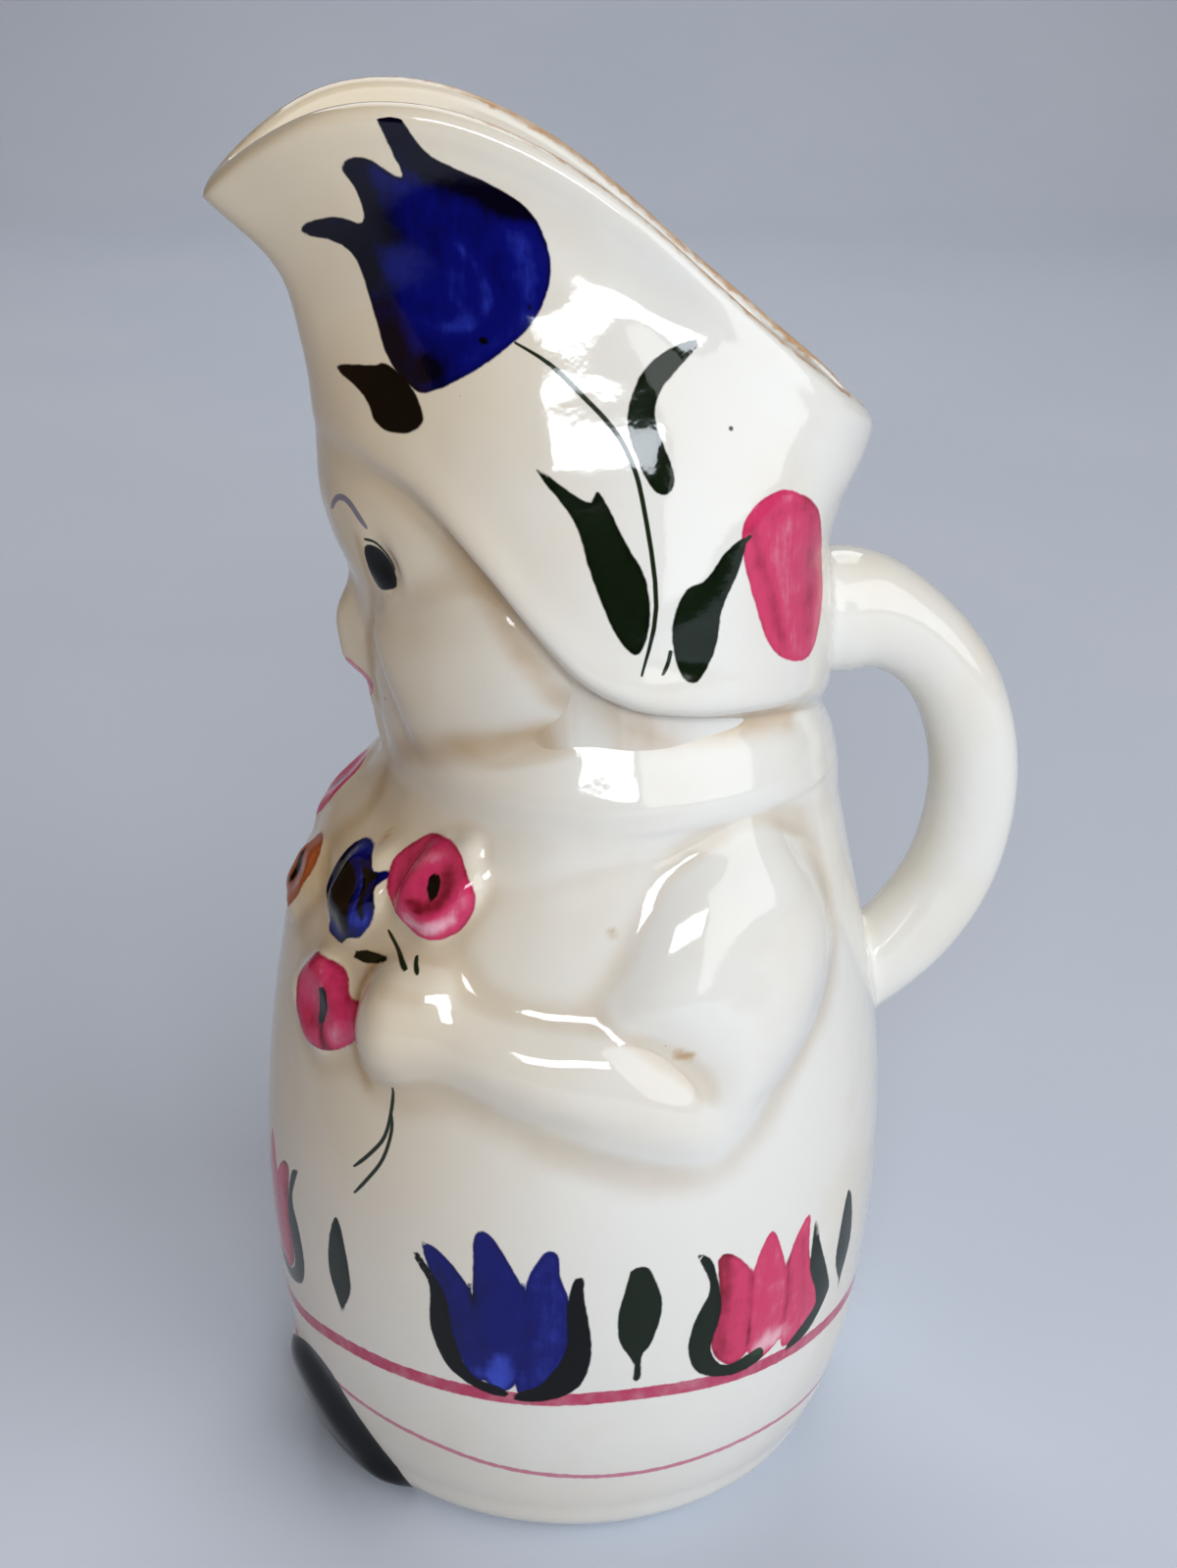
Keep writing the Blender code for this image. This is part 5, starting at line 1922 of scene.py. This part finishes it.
        # Painted warm shade over the front of the figure, fading out towards the foot.
        layers["tone"] = smooth_step(-y, -6.0, 44.0) * smooth_step(z, 10.0, 120.0) * 0.8
        layers["lip_wear"] = self.lip_wear(points)
        layers["bare_foot"] = (z < 0.15).astype(float)
        for name, values in layers.items():
            attribute = piece.data.attributes.new(name, "FLOAT", "POINT")
            attribute.data.foreach_set("value", values.astype(np.float32))

    def lip_wear(self, points: np.ndarray) -> np.ndarray:
        """How deep inside the worn edge of the lip each point lies, in millimetres.

        Args:
            points: positions in millimetres.

        Returns:
            The depths, negative outside the worn edge.
        """
        plain = self.vessel.carving.plain
        angle = np.linspace(-180.0, 180.0, 361)[:-1]
        outer = plain.points(plain.lip_at(angle), angle)
        inner = plain.points(plain.lip_at(angle, plain.wall), angle, plain.wall)
        crest = (outer + inner) / 2.0 + (0.0, 0.0, plain.wall / 2.0)
        depth = np.full(len(points), -9.0)
        high = np.flatnonzero(points[:, 2] > 190.0)
        away, index = self.nearest(crest, points[high])
        y = crest[index, 1]
        half = 0.5 + 1.5 * smooth_step(y, -34.0, -8.0) * (1.0 - smooth_step(y, 40.0, 50.0))
        depth[high] = half - away
        return depth


@dataclass
class Studio:
    """A pale floor with a soft backdrop, a tall window light and two soft fills."""

    floor_colour: str = "#CDD5E2"
    grain_colour: str = "#D6DCE8"
    room_light: str = "#BE9460"
    floor_depth: float = 1.3
    wall_height: float = 1.4
    bend: float = 0.45
    width: float = 4.0
    window_at: tuple[float, float] = (-5.0, 27.5)
    window_size: tuple[float, float] = (0.66, 0.27)

    def build(self, view: "PhotoCamera") -> None:
        """Make the floor, the backdrop and the lights.

        Args:
            view: the camera, which the backdrop faces.
        """
        self.backdrop(view)
        self.window()
        self.fill("right", (1.0, 0.95, 0.85), 1.5, 14.0, (0.94, 0.97, 1.0))
        self.fill("behind", (-1.1, 0.1, 1.3), 1.2, 8.5, (0.94, 0.98, 1.0))
        self.fill("left", (0.0, -1.5, 0.5), 1.8, 1.8, (1.0, 0.62, 0.30))
        self.room()

    def room(self) -> None:
        """A pale room all round, whose light on the pitcher is dim and warm as in the photograph."""
        world = bpy.data.worlds.new("studio_room")
        world.use_nodes = True
        tree = world.node_tree
        glow = tree.nodes["Background"]
        glow.inputs["Color"].default_value = srgb(self.room_light)
        glow.inputs["Strength"].default_value = 0.11
        wall = add_node(tree, "ShaderNodeBackground", {"Color": srgb(self.floor_colour), "Strength": 0.62})
        seen = add_node(tree, "ShaderNodeLightPath").outputs["Is Camera Ray"]
        both = add_node(tree, "ShaderNodeMixShader", {0: seen, 1: glow.outputs[0], 2: wall.outputs[0]})
        tree.links.new(both.outputs[0], tree.nodes["World Output"].inputs["Surface"])
        bpy.context.scene.world = world

    def backdrop(self, view: "PhotoCamera") -> None:
        """A sheet that runs level under the pitcher and bends up behind it.

        Args:
            view: the camera, away from which the sheet bends up.
        """
        away = np.array([view.forward[0], view.forward[1]])
        away /= np.linalg.norm(away)
        side = np.array([-away[1], away[0]])
        turn = np.linspace(0.0, np.pi / 2.0, 16)
        sweep = [
            (self.floor_depth + self.bend * np.sin(t), self.bend * (1.0 - np.cos(t))) for t in turn
        ]
        run = [(-2.0, 0.0), *sweep]
        run.append((self.floor_depth + self.bend, self.wall_height))
        grid = np.array([
            [(*(away * r + side * s), h) for s in (-self.width / 2.0, 0.0, self.width / 2.0)]
            for r, h in run
        ])  # fmt: skip
        sheet = sheet_of("floor_and_backdrop", grid, False)
        material = bpy.data.materials.new("matt_paper_sweep")
        material.use_nodes = True
        tree = material.node_tree
        place = add_node(tree, "ShaderNodeTexCoord").outputs["Object"]
        grain = add_node(tree, "ShaderNodeTexNoise", {"Vector": place, "Scale": 6.0, "Detail": 2.0})
        links = {0: grain.outputs[0], 6: srgb(self.floor_colour), 7: srgb(self.grain_colour)}
        tone = add_node(tree, "ShaderNodeMix", links, data_type="RGBA")
        tree.links.new(tone.outputs[2], tree.nodes["Principled BSDF"].inputs["Base Color"])
        tree.nodes["Principled BSDF"].inputs["Roughness"].default_value = 0.85
        sheet.data.materials.append(material)
        select_only(sheet)
        bpy.ops.object.shade_smooth()

    def light(
        self, name: str, place: Vector, target: Vector, size: tuple[float, float], power: float, tint: tuple
    ) -> None:
        """A rectangular area light.

        Args:
            name: its name.
            place: where it hangs.
            target: what it faces.
            size: its width and height in metres.
            power: its power in watts.
            tint: its colour.
        """
        lamp = bpy.data.lights.new(name, "AREA")
        lamp.shape = "RECTANGLE"
        lamp.size, lamp.size_y = size
        lamp.energy = power
        lamp.color = tint
        obj = bpy.data.objects.new(name, lamp)
        obj.location = place
        obj.rotation_euler = (target - place).to_track_quat("-Z", "Y").to_euler()
        obj.visible_camera = False
        bpy.context.scene.collection.objects.link(obj)

    def fill(self, name: str, place: tuple, size: float, power: float, tint: tuple) -> None:
        """A large weak light facing the pitcher."""
        self.light(name, Vector(place), Vector((0.0, 0.0, 0.12)), (size, size), power, tint)

    def window(self) -> None:
        """A wide soft window that the side of the bonnet mirrors towards the camera."""
        spot = Vector((0.036, -0.005, 0.200))
        turn, lift = np.radians(self.window_at)
        away = Vector((np.cos(lift) * np.cos(turn), np.cos(lift) * np.sin(turn), np.sin(lift)))
        self.light("window", spot + away * 1.3, spot, self.window_size, 6.9, (0.88, 0.94, 1.0))


@dataclass
class PhotoCamera:
    """A camera at the photograph's place, direction and lens."""

    place: tuple[float, float, float] = (0.36152, -0.05081, 0.29447)
    forward: tuple[float, float, float] = (-0.9032, 0.1312, -0.4086)
    right: tuple[float, float, float] = (0.1352, 0.9906, 0.0192)
    focal_pixels: float = 2250.0
    sensor: float = 36.0

    def build(self) -> bpy.types.Object:
        """Make the camera and set it as the scene's own.

        Returns:
            The camera.
        """
        data = bpy.data.cameras.new("photo_camera")
        data.sensor_fit = "AUTO"
        data.sensor_width = self.sensor
        data.lens = self.focal_pixels / max(PHOTO_SIZE) * self.sensor
        data.clip_start = 0.01
        camera = bpy.data.objects.new("photo_camera", data)
        back = -Vector(self.forward).normalized()
        right = Vector(self.right).normalized()
        up = back.cross(right).normalized()
        right = up.cross(back).normalized()
        turn = Matrix((right, up, back)).transposed()
        camera.matrix_world = Matrix.Translation(Vector(self.place)) @ turn.to_4x4()
        bpy.context.scene.collection.objects.link(camera)
        bpy.context.scene.camera = camera
        return camera


def main() -> None:
    """Build the pitcher, its studio and its camera."""
    logging.basicConfig(level=logging.INFO, format="%(name)s: %(message)s")
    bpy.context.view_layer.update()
    view = PhotoCamera()
    view.build()
    log.info("camera placed")
    piece = GlazedPitcher().build()
    log.info("%s: %d faces", piece.name, len(piece.data.polygons))
    Studio().build(view)
    log.info("studio lit")
    bpy.context.scene.view_settings.view_transform = "Standard"
    bpy.context.scene.view_settings.look = "Medium High Contrast"


if __name__ == "__main__":
    main()
